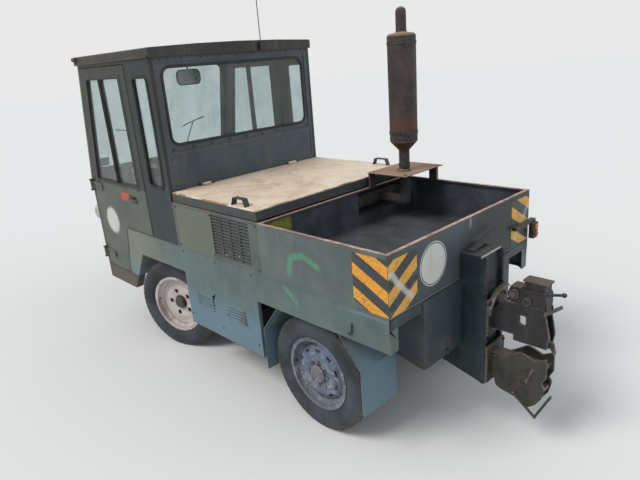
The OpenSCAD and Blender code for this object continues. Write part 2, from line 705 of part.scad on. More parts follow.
// Load bed: floor, four walls, a folded rim and the opening for the exhaust
module bed() {
    placed() color([0.24, 0.28, 0.27]) difference() {
        union() {
            difference() {
                bar(0, bed_l, -half, half, seam_z, bed_rim_z);
                bar(bed_t, bed_l - bed_t, -half + bed_t, half - bed_t, bed_floor_z, bed_rim_z + 1);
                bar(bed_t, bed_l - bed_t, -half + bed_t, half - bed_t, seam_z - 1, bed_floor_z - bed_t);
            }
            difference() {
                bar(0, bed_l, -half, half, bed_rim_z - rim_h, bed_rim_z);
                bar(rim_w, bed_l - rim_w, -half + rim_w, half - rim_w, bed_rim_z - rim_h - 1, bed_rim_z + 1);
            }
        }
        bar(bed_l - rim_w - 1, bed_l + 1, -half + 30, -165, muffler_z - 76, bed_rim_z - rim_h);
    }
    // Boxed niche round the muffler, open to the bed
    placed() color([0.24, 0.28, 0.27]) difference() {
        bar(bed_l, niche_x1, niche_y0, niche_y1, muffler_z - 80, bed_rim_z - 1);
        bar(bed_l - 1, niche_x1 - sheet_t, niche_y0 + sheet_t, niche_y1 - sheet_t, muffler_z - 76, bed_rim_z);
    }
}
niche_x1 = bed_l + 110;
niche_y0 = -half + 26;
niche_y1 = -140;

// Exhaust pipe and muffler at the bed's front wall, with the elbow up to the plate
muffler_z = bed_rim_z - 98;
muffler_x = bed_l + 52;
module exhaust_pipe() {
    placed() color([0.20, 0.17, 0.16]) {
        rod_y(muffler_x, muffler_z, 45, -half + 40, -190);
        rod_y(muffler_x, muffler_z, 20, -200, -150);
        rod_x(-stack_y, muffler_z, pipe_r, stack_x, muffler_x);
        translate([stack_x, -stack_y, muffler_z]) sphere(r = pipe_r);
        rod_z(stack_x, -stack_y, pipe_r, muffler_z, plate_z);
    }
}

// Base plate on its posts, upright silencer and tail pipe
module exhaust_stack() {
    plate = [stack_x - 128, bed_l - 10, -half + 5, -stack_y + 167];
    cone_z = silencer_z0 - 58;
    cap_pipe_r = 32;
    placed() color([0.30, 0.20, 0.16]) {
        bar(plate[0], plate[1], plate[2], plate[3], plate_z, plate_z + 5);
        bar(plate[0] + 40, plate[0] + 100, -half + 1, -half + rim_w, bed_rim_z, plate_z);
        bar(bed_l - rim_w, plate[1], -330, -270, bed_rim_z, plate_z);
        translate([stack_x, -stack_y, 0]) {
            rotate_extrude() polygon([[0, plate_z], [pipe_r + 14, plate_z], [pipe_r + 14, plate_z + 13],
                [pipe_r, plate_z + 19], [pipe_r, cone_z], [silencer_r, silencer_z0], [silencer_r, silencer_z1 - 8],
                [silencer_r - 8, silencer_z1], [silencer_r - 14, silencer_z1 + 4], [cap_pipe_r + 4, silencer_z1 + 10],
                [cap_pipe_r, silencer_z1 + 24], [cap_pipe_r, tail_z - cap_pipe_r], [0, tail_z - cap_pipe_r]]);
            translate([0, 0, tail_z - cap_pipe_r]) sphere(r = cap_pipe_r);
        }
    }
}

// Coupling tower: closed post with ladder rails, a foot under the frame and the release plate on top
module tower() {
    ladder_x = -tower_l - ladder_d;
    foot_x = 200;
    foot_rise = 0.25;
    foot_t = 12;
    plate_x = [-62, -22];
    function foot_at(x) = tower_z0 + (x - ladder_x) * foot_rise;
    placed() color([0.10, 0.12, 0.13]) translate([0, tower_y, 0]) {
        slab([[-tower_l, foot_at(-tower_l)], [-tower_l, tower_z1], [-back_plate_t, tower_z1],
            [-back_plate_t, foot_at(-back_plate_t)]], -tower_w / 2, tower_w / 2);
        bar(-back_plate_t, 0, -tower_w / 2, tower_w / 2, bearer_z + beam_h, tower_z1);
        both_sides() slab([[-tower_l, foot_at(-tower_l)], [-tower_l, rail_z0], [foot_x, rail_z0],
            [foot_x, foot_at(foot_x)]], tower_w / 2 - foot_t, tower_w / 2);
        slab([[-tower_l, foot_at(-tower_l)], [-tower_l, foot_at(-tower_l) + foot_t], [foot_x, foot_at(foot_x) + foot_t],
            [foot_x, foot_at(foot_x)]], -tower_w / 2, tower_w / 2);
        both_sides() difference() {
            bar(ladder_x, -tower_l, tower_w / 2 - ladder_w, tower_w / 2, tower_z0, tower_z1);
            for (z = [tower_z0 + 60 : 60 : tower_z1 - 70])
                rod_y(-tower_l - ladder_d / 2, z, 8, tower_w / 2 - ladder_w - 1, tower_w / 2 - 6);
        }
        rib([[62, tower_z1 - 3], [-215, tower_z1 + 49], [-215, tower_z1 + 57], [62, tower_z1 + 5]], plate_x[0], plate_x[1]);
        bar(plate_x[0], plate_x[1], 30, 62, tower_z1 - 3, tower_z1 + 12);
    }
}

// Upper coupling: cheeks under a closed head, carrying bow, foot plate, pin, levers and claw
module upper_coupling() {
    x0 = -tower_l - ladder_d;
    head_z = upper_z + upper_mouth / 2;
    foot_z = upper_z - upper_mouth / 2;
    bow_y = -47;
    bow_z = head_z - 93;
    cheek_out = cheek_in + cheek_t;
    head_w = cheek_out - 2;
    lever = [-425, head_z + 98, 14];
    outline = [[x0 - 10, foot_z + 18], [x0 - 10, head_z - 52], [-222, head_z + 30], [-254, head_z + 24],
        [-435, head_z + 24], [-435, head_z + 3], [-461, head_z - 117], [-450, foot_z - 14], [-277, foot_z - 14],
        [-277, foot_z + 18]];
    placed() color([0.08, 0.08, 0.09]) translate([0, tower_y, 0]) {
        bar(x0 - 16, x0, -90, 90, foot_z - 10, head_z + 20);
        intersection() {
            difference() {
                rod_x(bow_y, bow_z, 158, x0 - 34, x0 - 6);
                rod_x(bow_y, bow_z, 147, x0 - 35, x0 - 5);
            }
            bar(x0 - 34, x0 - 6, -tower_w / 2, tower_w / 2, bow_z + 5, bow_z + 160);
        }
        difference() {
            slab(outline, cheek_in, cheek_out);
            side_window(-340, -306, upper_z, upper_z + 50, 12, cheek_in - 1, cheek_out + 1);
        }
        difference() {
            slab(outline, -cheek_out, -cheek_in);
            side_window(-340, -245, upper_z - 60, upper_z + 20, 12, -cheek_out - 1, 1 - cheek_in);
        }
        slab([[-252, head_z + 112], [-238, head_z + 72], [-252, head_z], [-435, head_z], [-439, head_z + 90],
            [-430, head_z + 112]], -head_w, head_w);
        bar(-430, -320, -head_w + 6, head_w - 6, head_z + 107, head_z + 151);
        bar(-440, -314, -head_w, head_w, head_z + 151, head_z + 159);
        rod_y(-277, head_z + 75, 25, head_w - 4, head_w + 12);
        rod_y(-277, head_z + 75, 13, head_w - 4, head_w + 20);
        rod_y(-344, head_z + 50, 21, head_w - 4, head_w + 12);
        bar(-450, -277, -cheek_out, cheek_out, foot_z - 14, foot_z);
        rod_z(hitch_x, 0, hitch_pin_r, foot_z - 5, head_z + 5);
        rod_xz([lever[0], lever[1]], [coupling_x + 12, lever[1] + 20], lever[2], 7);
        translate([coupling_x + 12, lever[2], lever[1] + 20]) sphere(r = 12);
        slab([[-430, head_z - 10], [-430, head_z + 16], [-510, head_z + 76], [-516, head_z + 60]],
            cheek_out - 3, cheek_out + 6);
        slab([[-443, foot_z - 14], [-443, foot_z + 30], [-472, foot_z + 20], [-486, foot_z - 36],
            [-478, foot_z - 40], [-460, foot_z - 10]], 2, 20);
    }
}

// Lower coupling: funnel cheeks and bored lips, chin, latch and bent handle
module lower_coupling() {
    x0 = -tower_l - ladder_d;
    lip_z = lower_z + lower_mouth / 2;
    chin_z = lower_z - lower_mouth / 2;
    cheek_out = lower_in + cheek_t;
    bend = [-416, chin_z - 168];
    placed() color([0.12, 0.11, 0.09]) translate([0, tower_y, 0]) {
        bar(x0 - 16, x0, -90, 90, chin_z - 48, lip_z + 60);
        both_sides() slab([[x0 - 10, chin_z - 5], [-184, chin_z - 20], [-196, chin_z - 65], [-223, chin_z - 79],
            [-335, chin_z - 97], [-366, chin_z - 136], [-414, chin_z - 98], [-440, chin_z - 59],
            [-456, chin_z + 11], [-441, chin_z + 36], [-462, chin_z + 76], [-459, lip_z + 80], [-401, lip_z + 49],
            [-344, lip_z + 71], [-316, lip_z + 72], [-260, lip_z + 32], [-227, lip_z + 12], [x0 - 10, lip_z + 5]],
            lower_in, cheek_out);
        difference() {
            for (z = [chin_z - lip_t, lip_z]) slab([[x0 - 10, z], [x0 - 10, z + lip_t], [-446, z + lip_t], [-446, z]],
                -lower_in - 1, lower_in + 1);
            rod_z(hitch_x, 0, hitch_bore_r, chin_z - lip_t - 1, lip_z + lip_t + 1);
        }
        bar(-220, x0 - 10, -lower_in - 1, lower_in + 1, chin_z, lip_z);
        slab([[-388, lower_z + 54], [-400, lower_z + 50], [-368, lower_z - 34], [-356, lower_z - 30]],
            cheek_out - 1, cheek_out + 9);
        // Handle of round bar, bent below the chin
        rod_xz([-292, chin_z - 68], [bend[0] - 6, bend[1] - 4], cheek_out + 2, 7);
        rod_xz([bend[0] + 3, bend[1] - 6], [-494, chin_z - 10], cheek_out + 2, 6.5);
    }
}

// Lamp hung from its arm at the right rear corner
module tail_lamp() {
    arm_z = bed_rim_z - 184;
    arm_t = 20;
    lamp_w = 61;
    lamp_h = 97;
    placed() color([0.10, 0.11, 0.09]) {
        bar(-30, 0, -tail_lamp_y + 5, -half + 210, arm_z - arm_t, arm_z);
        translate([-45, 0, 0]) rotate([90, 0, 90]) linear_extrude(30)
            round_rect(-tail_lamp_y, lamp_w - tail_lamp_y, arm_z - arm_t - lamp_h, arm_z - arm_t + 1, 6);
        for (z = [arm_z - arm_t - 26, arm_z - arm_t - 71]) rod_x(lamp_w / 2 - tail_lamp_y, z, 20, -50, -40);
    }
}

// Round headlamps on the front
module headlamps() {
    lens = lamp_r - 9;
    placed() color([0.75, 0.75, 0.72]) both_sides()
        translate([cab_x1, half - 80, sill_z + 443]) rotate([0, 90, 0]) rotate_extrude()
            polygon([[0, 0], [lamp_r - 15, 0], [lamp_r - 4, 45], [lamp_r, 58], [lamp_r, 72], [lens, 74],
                [lens - 18, 80], [lens - 50, 84], [0, lamp_x - cab_x1]]);
}

// Whip antenna on the roof's rear edge
module antenna() {
    x = cab_x0 - 32;
    placed() color([0.05, 0.05, 0.05]) {
        rod_z(x, -192, 12, eaves_z + 6, eaves_z + 56);
        rod_z(x, -192, 3, eaves_z + 6, antenna_z);
    }
}

// Strap handles near the lid's rear corners
module lid_handles() {
    x1 = handle_x0 + handle_l;
    placed() color([0.12, 0.12, 0.13]) both_sides()
        slab([[handle_x0, lid_z], [handle_x0 + handle_lean, lid_z + handle_h], [x1 - handle_lean, lid_z + handle_h],
            [x1, lid_z], [x1 - handle_t, lid_z], [x1 - handle_lean - handle_t / 2, lid_z + handle_h - handle_t],
            [handle_x0 + handle_lean + handle_t / 2, lid_z + handle_h - handle_t], [handle_x0 + handle_t, lid_z]],
            half - 60, half - 60 + handle_w);
}

// Wheels, drawn at the axle's middle with the outside towards +Y
module tyre() {
    n = len(tyre_half);
    translate([0, tyre_mid, 0]) rotate([-90, 0, 0]) rotate_extrude($fn = 96)
        polygon(concat(tyre_half, [for (i = [n - 1 : -1 : 0]) [tyre_half[i][0], -tyre_half[i][1]]]));
}
// Rim well and flanges, its outer edge at 0
module rim_barrel() rotate_extrude($fn = 96)
    polygon([[flange_r, 0], [flange_r, -4], [rim_r, -4.5], [rim_r, -34], [178, -44], [178, -72], [rim_r, -82],
        [rim_r, -109.5], [flange_r, -110], [flange_r, -rim_depth], [rim_r - 5, -rim_depth], [rim_r - 5, -84],
        [173, -74], [173, -42], [rim_r - 5, -31], [rim_r - 5, 0]]);
module front_rim() translate([0, rim_y, 0]) rotate([-90, 0, 0]) {
    rim_barrel();
    difference() {
        union() {
            rotate_extrude() polygon([[30, -46], [62, -46], [118, -40], [150, -50], [175, -48],
                [175, -56], [150, -58], [118, -48], [62, -54], [30, -54]]);
            rotate_extrude() polygon([[0, -104], [hub_r, -104], [hub_r, -32], [hub_r - 6, -22], [0, -20]]);
            // Brake drum behind the disc
            rotate_extrude() polygon([[hub_r - 2, -100], [150, -100], [150, -68], [hub_r - 2, -68]]);
        }
        translate([0, 0, -110]) cylinder(r = stub_r + run, h = 87);
        for (i = [1 : front_holes]) rotate([0, 0, i * 360 / front_holes]) translate([92, 0, -60]) cylinder(r = 17, h = 30);
    }
}
module rear_rim() translate([0, rim_y, 0]) rotate([-90, 0, 0]) {
    rim_barrel();
    difference() {
        union() {
            rotate_extrude() polygon([[30, -18], [60, -18], [88, -8], [125, -8], [152, -22], [175, -44],
                [175, -52], [152, -30], [125, -16], [88, -16], [60, -26], [30, -26]]);
            rotate_extrude() polygon([[0, -104], [hub_r, -104], [hub_r, -12], [hub_r + 8, -10], [hub_r + 8, 0],
                [hub_r - 2, 5], [30, 6], [26, 2], [0, 2]]);
            for (a = [0 : 45 : 359]) rotate([0, 0, a]) translate([74, 0, -26]) cylinder(r = 9, h = 24);
        }
        translate([0, 0, -110]) cylinder(r = stub_r + run, h = 88);
        for (i = [1 : rear_holes]) rotate([0, 0, (i + 0.5) * 360 / rear_holes]) translate([141, 0, -50])
            linear_extrude(50) hand_hole();
    }
}
module hand_hole() {
    square([12, 26], center = true);
    for (y = [-13, 13]) translate([0, y]) circle(6);
}

// Front corner: a place at a kingpin, turned by the steering
module steered(s) placed() translate([front_x, s * kingpin_y, 0]) rotate([0, 0, steer_rest]) children();
module front_wheel(s) steered(s) translate([0, -s * kingpin_y, axle_z]) on_side(s) children();
module rear_wheel(s) placed() translate([rear_x, 0, axle_z]) on_side(s) children();

module tyre_front_left() color([0.06, 0.06, 0.07]) front_wheel(1) tyre();
module tyre_front_right() color([0.06, 0.06, 0.07]) front_wheel(-1) tyre();
module tyre_rear_left() color([0.06, 0.06, 0.07]) rear_wheel(1) tyre();
module tyre_rear_right() color([0.06, 0.06, 0.07]) rear_wheel(-1) tyre();
module rim_front_left() color([0.72, 0.66, 0.62]) front_wheel(1) front_rim();
module rim_front_right() color([0.72, 0.66, 0.62]) front_wheel(-1) front_rim();
module rim_rear_left() color([0.12, 0.14, 0.17]) rear_wheel(1) rear_rim();
module rim_rear_right() color([0.12, 0.14, 0.17]) rear_wheel(-1) rear_rim();

// Steering knuckle: yoke round the beam's boss, kingpin, stub axle and steering arm
eye_r = 17;
tie_pin_r = 8;
module knuckle(s) {
    web = boss_r + 5;
    yoke_r = boss_r - 4;
    top = axle_z + boss_h / 2 + yoke_gap;
    steered(s) {
        rod_z(0, 0, kingpin_r, yoke_z0, top + yoke_t);
        on_side(s) {
            for (z = [yoke_z0, top]) {
                rod_z(0, 0, yoke_r, z, z + yoke_t);
                bar(-yoke_r, yoke_r, 0, web + 15, z, z + yoke_t);
            }
            bar(-yoke_r, yoke_r, web, web + 15, yoke_z0, top + yoke_t);
            rod_y(0, axle_z, stub_r, web, rim_y - kingpin_y - 24);
            rod_y(0, axle_z, yoke_r, web, web + 17);
        }
        difference() {
            union() {
                bar(-arm_l, 0, -12, 12, yoke_z0, yoke_z0 + yoke_t);
                rod_z(-arm_l, 0, eye_r, yoke_z0, yoke_z0 + yoke_t);
            }
            rod_z(-arm_l, 0, tie_pin_r, yoke_z0 - 1, yoke_z0 + yoke_t + 1);
        }
    }
}
module knuckle_left() color(black_iron) knuckle(1);
module knuckle_right() color(black_iron) knuckle(-1);

// Tie rod under the steering arms, with a pin up into each arm's eye
module tie_rod() {
    arm_x = front_x - arm_l * cos(steer_rest);
    arm_y = -arm_l * sin(steer_rest);
    placed() color(black_iron) {
        rod_y(arm_x, yoke_z0 - 20, rod_r, arm_y - kingpin_y, arm_y + kingpin_y);
        for (s = [-1, 1]) {
            rod_z(arm_x, arm_y + s * kingpin_y, eye_r, yoke_z0 - 36, yoke_z0 - 1);
            rod_z(arm_x, arm_y + s * kingpin_y, s > 0 ? tie_pin_r - run : tie_pin_r - 2, yoke_z0 - 5, yoke_z0 + yoke_t);
        }
    }
}

frame_rails();
bed_bearers();
bumper();
front_axle();
rear_axle();
engine_block();
lower_body_left();
lower_body_right();
cab_floor();
cab_front();
cab_rear_wall();
quarter_left();
quarter_right();
cab_glass();
door_left();
door_right();
door_glass_left();
door_glass_right();
roof();
seat();
steering_wheel();
dash();
cab_mirror();
engine_side_left();
engine_side_right();
engine_lid();
bed();
exhaust_pipe();
exhaust_stack();
tower();
upper_coupling();
lower_coupling();
tail_lamp();
headlamps();
antenna();
lid_handles();
tyre_front_left();
tyre_front_right();
tyre_rear_left();
tyre_rear_right();
rim_front_left();
rim_front_right();
rim_rear_left();
rim_rear_right();
knuckle_left();
knuckle_right();
tie_rod();
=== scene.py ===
"""Cab tow tractor with a load bed: its pieces, finishes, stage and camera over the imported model."""
import json
import math
from functools import cache, partial

import bmesh
import bpy
from mathutils import Matrix, Vector
from mathutils.bvhtree import BVHTree
from mathutils.kdtree import KDTree

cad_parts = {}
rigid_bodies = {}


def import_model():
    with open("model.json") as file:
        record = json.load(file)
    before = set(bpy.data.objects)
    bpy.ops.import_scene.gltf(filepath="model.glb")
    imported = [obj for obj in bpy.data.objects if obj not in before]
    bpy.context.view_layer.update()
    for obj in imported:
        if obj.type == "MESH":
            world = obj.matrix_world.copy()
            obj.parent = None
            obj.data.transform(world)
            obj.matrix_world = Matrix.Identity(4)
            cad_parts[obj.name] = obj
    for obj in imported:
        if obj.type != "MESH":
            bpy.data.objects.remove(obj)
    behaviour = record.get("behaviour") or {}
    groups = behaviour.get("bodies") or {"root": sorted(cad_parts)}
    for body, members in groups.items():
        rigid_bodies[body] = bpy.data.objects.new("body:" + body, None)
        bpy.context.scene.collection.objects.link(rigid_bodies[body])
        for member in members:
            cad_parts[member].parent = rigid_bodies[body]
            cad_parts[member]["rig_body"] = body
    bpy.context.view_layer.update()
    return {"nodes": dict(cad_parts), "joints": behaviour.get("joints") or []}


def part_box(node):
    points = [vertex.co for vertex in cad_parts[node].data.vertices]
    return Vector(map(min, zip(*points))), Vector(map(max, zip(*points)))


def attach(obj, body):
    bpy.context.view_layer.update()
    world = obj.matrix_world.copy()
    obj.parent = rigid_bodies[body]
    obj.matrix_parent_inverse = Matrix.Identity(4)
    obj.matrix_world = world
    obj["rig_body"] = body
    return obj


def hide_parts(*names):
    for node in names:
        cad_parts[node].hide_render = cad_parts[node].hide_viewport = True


bl_info = {
    "name": "Cab tow tractor",
    "version": (1, 0, 0),
    "blender": (4, 5, 0),
    "location": "3D View > Sidebar > Tractor",
    "description": "Builds the pieces and worn finishes of a cab tow tractor with a load bed",
    "category": "Object",
}

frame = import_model()
BED_LOW, BED_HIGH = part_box("bed")
# Ground point under the middle of the bed's rear face, from which all lengths are measured
HOME = Vector((BED_LOW.x, (BED_LOW.y + BED_HIGH.y) / 2, 0))
# Lengths from there in millimetres, as at() takes them: half the body's width
HALF = (BED_HIGH.y - BED_LOW.y) / 2 * 1000
# Heights of the body's seam, the bed's rim and the lid's top
SEAM, RIM, LID_TOP = 890, 1198, 1266
# Heights of the cab's waist and eaves, where its screens and windows begin and end
WAIST, EAVES = 1245, 2114
# Ends of the bed and of the niche ahead of it, and both ends of the grilles
BED_END, NICHE_END, GRILLE_START, GRILLE_END = 918, 1028, 1000, 1372
# The cab's rear wall and front, and how far its screens lean back
BACK, FRONT, SCREEN_RAKE = 1820, 3087, 175
# The doors' rear edge and foot
DOOR_REAR, DOOR_FOOT = 2175, 892
# The coupling tower's rear edge and top
TOWER_REAR, TOWER_TOP = -126, 1033
# The upright silencer's axis and the plate that it stands on
STACK_X, STACK_Y, STACK_PLATE = 728, -425, 1294
# From the middle plane to the middle of each seat
SEAT_MIDDLE = 300
SIDES = (("left", 1), ("right", -1))
WHEELS = ("front_left", "front_right", "rear_left", "rear_right")


def at(x, y, z):
    """Place of a point given in millimetres from the bed's rear face, the middle plane and the ground."""
    return HOME + Vector((x, y, z)) / 1000


def mm(value):
    """Metres of a length in millimetres."""
    return value / 1000


def in_mm(length):
    """Millimetres of a length that a user may change, to a thousandth."""
    return round(length * 1000, 3)


def tint(red, green, blue):
    """Linear colour from the 0 to 255 values of a colour chart."""
    shades = [value / 255 for value in (red, green, blue)]
    return tuple(s / 12.92 if s <= 0.04045 else ((s + 0.055) / 1.055) ** 2.4 for s in shades) + (1.0,)


# Shader building


class Wire:
    """An output socket of a material, so that shader maths reads as an expression."""

    def __init__(self, board, socket):
        self.board = board
        self.socket = socket

    def maths(self, operation, first, second=None, clamp=False):
        """The result of a Math node."""
        values = {0: first} if second is None else {0: first, 1: second}
        return self.board.add("ShaderNodeMath", {"operation": operation, "use_clamp": clamp}, values)

    def __add__(self, other):
        return self.maths("ADD", self, other)

    def __radd__(self, other):
        return self.maths("ADD", other, self)

    def __sub__(self, other):
        return self.maths("SUBTRACT", self, other)

    def __rsub__(self, other):
        return self.maths("SUBTRACT", other, self)

    def __mul__(self, other):
        return self.maths("MULTIPLY", self, other)

    def __rmul__(self, other):
        return self.maths("MULTIPLY", other, self)

    def __truediv__(self, other):
        return self.maths("DIVIDE", self, other)

    def power(self, other):
        """The value raised to a power."""
        return self.maths("POWER", self, other)

    def higher(self, other):
        """The larger of two values."""
        return self.maths("MAXIMUM", self, other)

    def lower(self, other):
        """The smaller of two values."""
        return self.maths("MINIMUM", self, other)

    def size(self):
        """The value without its sign."""
        return self.maths("ABSOLUTE", self)

    def kept(self):
        """The value held between 0 and 1."""
        return self.maths("ADD", self, 0.0, clamp=True)

    def between(self, low, high):
        """0 below low, 1 above high, with a soft step; low may be the larger of the two."""
        return self.board.add(
            "ShaderNodeMapRange",
            {"interpolation_type": "SMOOTHSTEP"},
            {"Value": self, "From Min": low, "From Max": high},
        )


class Board:
    """The node tree of one material."""

    def __init__(self, name):
        self.material = bpy.data.materials.new(name)
        self.take(self.material)
        self.place = self.add("ShaderNodeTexCoord", out="Object")

    def take(self, owner):
        """Starts an empty tree on a material or a world."""
        owner.use_nodes = True
        self.tree = owner.node_tree
        self.tree.nodes.clear()

    def add(self, kind, settings=None, values=None, out=0):
        """Adds a node: its settings first, then the values or links of its sockets."""
        node = self.tree.nodes.new(kind)
        for key, value in (settings or {}).items():
            setattr(node, key, value)
        for key, value in (values or {}).items():
            if isinstance(value, Wire):
                self.tree.links.new(value.socket, node.inputs[key])
            else:
                node.inputs[key].default_value = value
        return Wire(self, node.outputs[out])

    def shifted(self, scale=(1, 1, 1), offset=(0, 0, 0)):
        """The piece's own coordinates, stretched and moved."""
        return self.add("ShaderNodeMapping", None, {"Vector": self.place, "Location": offset, "Scale": scale})

    def noise(self, scale, detail=4.0, roughness=0.55, stretch=(1, 1, 1), distortion=0.0, offset=(0, 0, 0)):
        """A noise from 0 to 1 over the piece's own coordinates."""
        values = {"Vector": self.shifted(stretch, offset), "Scale": scale, "Detail": detail,
                  "Roughness": roughness, "Distortion": distortion}
        return self.add("ShaderNodeTexNoise", None, values)

    def cells(self, scale, feature="F1"):
        """Distance within a pattern of cells, or from their borders."""
        values = {"Vector": self.shifted(), "Scale": scale}
        return self.add("ShaderNodeTexVoronoi", {"feature": feature}, values)

    def mix(self, factor, first, second):
        """Colour mix, from the first colour at 0 to the second at 1."""
        settings = {"data_type": "RGBA", "clamp_factor": True}
        return self.add("ShaderNodeMix", settings, {0: factor, 6: first, 7: second}, out=2)

    def mark(self, name):
        """A number that the mesh carries at its points or faces."""
        return self.add("ShaderNodeAttribute", {"attribute_name": name}, out="Fac")

    def outlets(self, wire, names):
        """The named outputs of the node that a wire comes from."""
        return [Wire(self, wire.socket.node.outputs[name]) for name in names]

    def axes(self, vector=None):
        """The three coordinates of a place, as numbers."""
        return self.outlets(self.add("ShaderNodeSeparateXYZ", None, {"Vector": vector or self.place}), "XYZ")

    def facing(self):
        """How far the surface faces up, from -1 to 1."""
        return self.axes(self.add("ShaderNodeNewGeometry", out="Normal"))[2]

    def bump(self, height, strength, distance, normal=None):
        """A normal tilted by a height, over another normal if one is given."""
        values = {"Height": height, "Strength": strength, "Distance": distance}
        if normal is not None:
            values["Normal"] = normal
        return self.add("ShaderNodeBump", None, values)

    def finish(self, colour, roughness, normal=None, metallic=0.0, **fixed):
        """The surface shader, with its varying sockets linked and its fixed ones set on it."""
        values = {"Base Color": colour, "Roughness": roughness, "Metallic": metallic}
        if normal is not None:
            values["Normal"] = normal
        for name, value in fixed.items():
            values[name.replace("_", " ")] = value
        self.end(self.add("ShaderNodeBsdfPrincipled", None, values))
        return self.material

    def end(self, shader, kind="ShaderNodeOutputMaterial"):
        """Links the last shader to the tree's output."""
        self.tree.links.new(shader.socket, self.tree.nodes.new(kind).inputs["Surface"])


class SkyBoard(Board):
    """The node tree of the world."""

    def __init__(self, world):
        self.take(world)


def darker(colour, share):
    """A colour with its light cut to a share."""
    return tuple(c * share for c in colour[:3]) + (1.0,)


def segment_mask(board, along, up, lines, width, rough=0.02):
    """Mask of a sprayed stroke that follows straight runs in two coordinates."""
    wobble = board.noise(9.0, 3.0) * rough - rough / 2
    mist = board.noise(160.0, 3.0, 0.7)
    nearest = None
    for (x0, z0), (x1, z1) in lines:
        span = (x1 - x0) ** 2 + (z1 - z0) ** 2
        reach = (((along - x0) * (x1 - x0) + (up - z0) * (z1 - z0)) / span).kept()
        off_x = along - x0 - reach * (x1 - x0) + wobble
        off_z = up - z0 - reach * (z1 - z0) + wobble
        gap = (off_x * off_x + off_z * off_z).power(0.5)
        nearest = gap if nearest is None else nearest.lower(gap)
    return nearest.between(width * 1.5, width * 0.35) * (0.35 + mist * 1.1).kept()


def worn_paint(name, base, faded, rust=0.35, dust=0.4, mud=0.0, scratch=0.4, streak=0.4,
               primer=tint(150, 152, 148), dust_tint=tint(124, 120, 110), rust_tint=tint(84, 58, 44),
               patches=0.0, extra=None, chip=0.008, shine=0.4):
    """Old sprayed paint: faded and streaked, dusty on top, scratched, with rust at its edges."""
    b = Board(name)
    rough, bump = 0.5, 0.35
    cloud = b.noise(1.7, 5.0, 0.6)
    blotch = b.noise(7.0, 5.0, 0.6, offset=(3, 1, 2))
    grain = b.noise(130.0, 3.0, 0.6)
    colour = b.mix((cloud * 0.9 + blotch * 0.5 - 0.2).between(0.3, 0.72), base, faded)
    colour = b.mix(grain * 0.22, colour, darker(base, 0.45))
    # Rain streaks down the sides
    runs = b.noise(16.0, 4.0, 0.65, stretch=(1, 1, 0.06)).between(0.5, 0.72)
    runs = runs * b.noise(2.6, 3.0, offset=(7, 3, 1)).between(0.4, 0.62)
    colour = b.mix(runs * streak * 0.55, colour, dust_tint)
    drips = b.noise(34.0, 3.0, 0.6, stretch=(1, 1, 0.035), offset=(1, 9, 4)).between(0.6, 0.75)
    colour = b.mix(drips * streak * 0.6, colour, darker(base, 0.35))
    # Fine scratches in two directions, and rubbed places
    scores = b.noise(9.0, 5.0, 0.75, stretch=(0.5, 0.5, 14), distortion=0.3).between(0.66, 0.72)
    slants = b.noise(11.0, 4.0, 0.7, stretch=(5, 5, 0.7), distortion=0.8, offset=(5, 2, 8))
    slants = slants.between(0.68, 0.73)
    rubbed = b.noise(4.5, 6.0, 0.7, offset=(2, 7, 5)).between(0.56, 0.68)
    scored = (scores.higher(slants) * rubbed * scratch).kept()
    colour = b.mix(scored * 0.75, colour, primer)
    scuffs = b.noise(48.0, 4.0, 0.75, offset=(9, 4, 4)).between(0.6, 0.7) * rubbed
    colour = b.mix(scuffs * scratch * 0.4, colour, primer)
    # Rust: along worn edges, as specks, and as larger patches
    edge = b.mark("edge")
    fray = b.noise(38.0, 5.0, 0.75, offset=(4, 4, 1))
    coarse = b.noise(5.5, 4.0, 0.6, offset=(8, 1, 3))
    worn_edge = (edge + fray * 0.03 - 0.015 + (0.55 - coarse) * 0.05).between(chip, chip * 0.35)
    specks = b.noise(75.0, 2.0, 0.5, offset=(6, 6, 2)).between(0.7, 0.76)
    specks = specks * b.noise(3.2, 3.0, offset=(1, 5, 9)).between(0.45, 0.62)
    patch = b.noise(3.4, 7.0, 0.68, distortion=0.4, offset=(2, 2, 6)).between(0.62, 0.68) * patches
    rusty = ((worn_edge.higher(specks) * (0.25 + rust) + patch).kept() * (0.3 + rust * 1.4)).kept()
    rust_shade = b.mix(fray, darker(rust_tint, 0.4), rust_tint)
    rust_shade = b.mix(b.noise(210.0, 2.0).between(0.55, 0.7) * 0.35, rust_shade, tint(128, 84, 58))
    if extra is not None:
        colour = extra(b, colour)
    colour = b.mix(rusty, colour, rust_shade)
    # Dust that lies on what faces up and in the corners
    nook = b.mark("nook")
    lying = b.facing().between(0.45, 0.95)
    drift = (0.45 + b.noise(5.0, 5.0, 0.7, offset=(1, 1, 1)) * 0.9) * lying
    corner = nook.between(0.045, 0.0) * b.noise(24.0, 3.0).between(0.35, 0.6) * 0.6
    haze = b.noise(2.2, 5.0, 0.65, offset=(12, 3, 3)).between(0.45, 0.75) * 0.35
    powder = (drift.higher(corner).higher(haze) * dust).kept()
    colour = b.mix(powder * 0.75, colour, dust_tint)
    if mud:
        height = b.axes()[2]
        splash = b.noise(26.0, 5.0, 0.75, offset=(3, 8, 1))
        grime = ((0.72 - height) * 1.5 + splash * 0.9 - 0.62).between(0.05, 0.75) * mud
        colour = b.mix(grime.kept(), colour, tint(120, 112, 98))
    roughness = (rough + (cloud - 0.5) * 0.25 + rusty * 0.25 + powder * 0.3 - scored * 0.15).kept()
    dent = b.noise(2.3, 2.0, 0.4, offset=(5, 5, 5))
    normal = b.bump(dent, 0.35 * bump, 0.02)
    relief = grain * 0.25 + rusty * fray * 1.2 - scored * 0.5 + scuffs * 0.2
    normal = b.bump(relief, bump, 0.0012, normal)
    return b.finish(colour, roughness, normal, Specular_IOR_Level=shine)


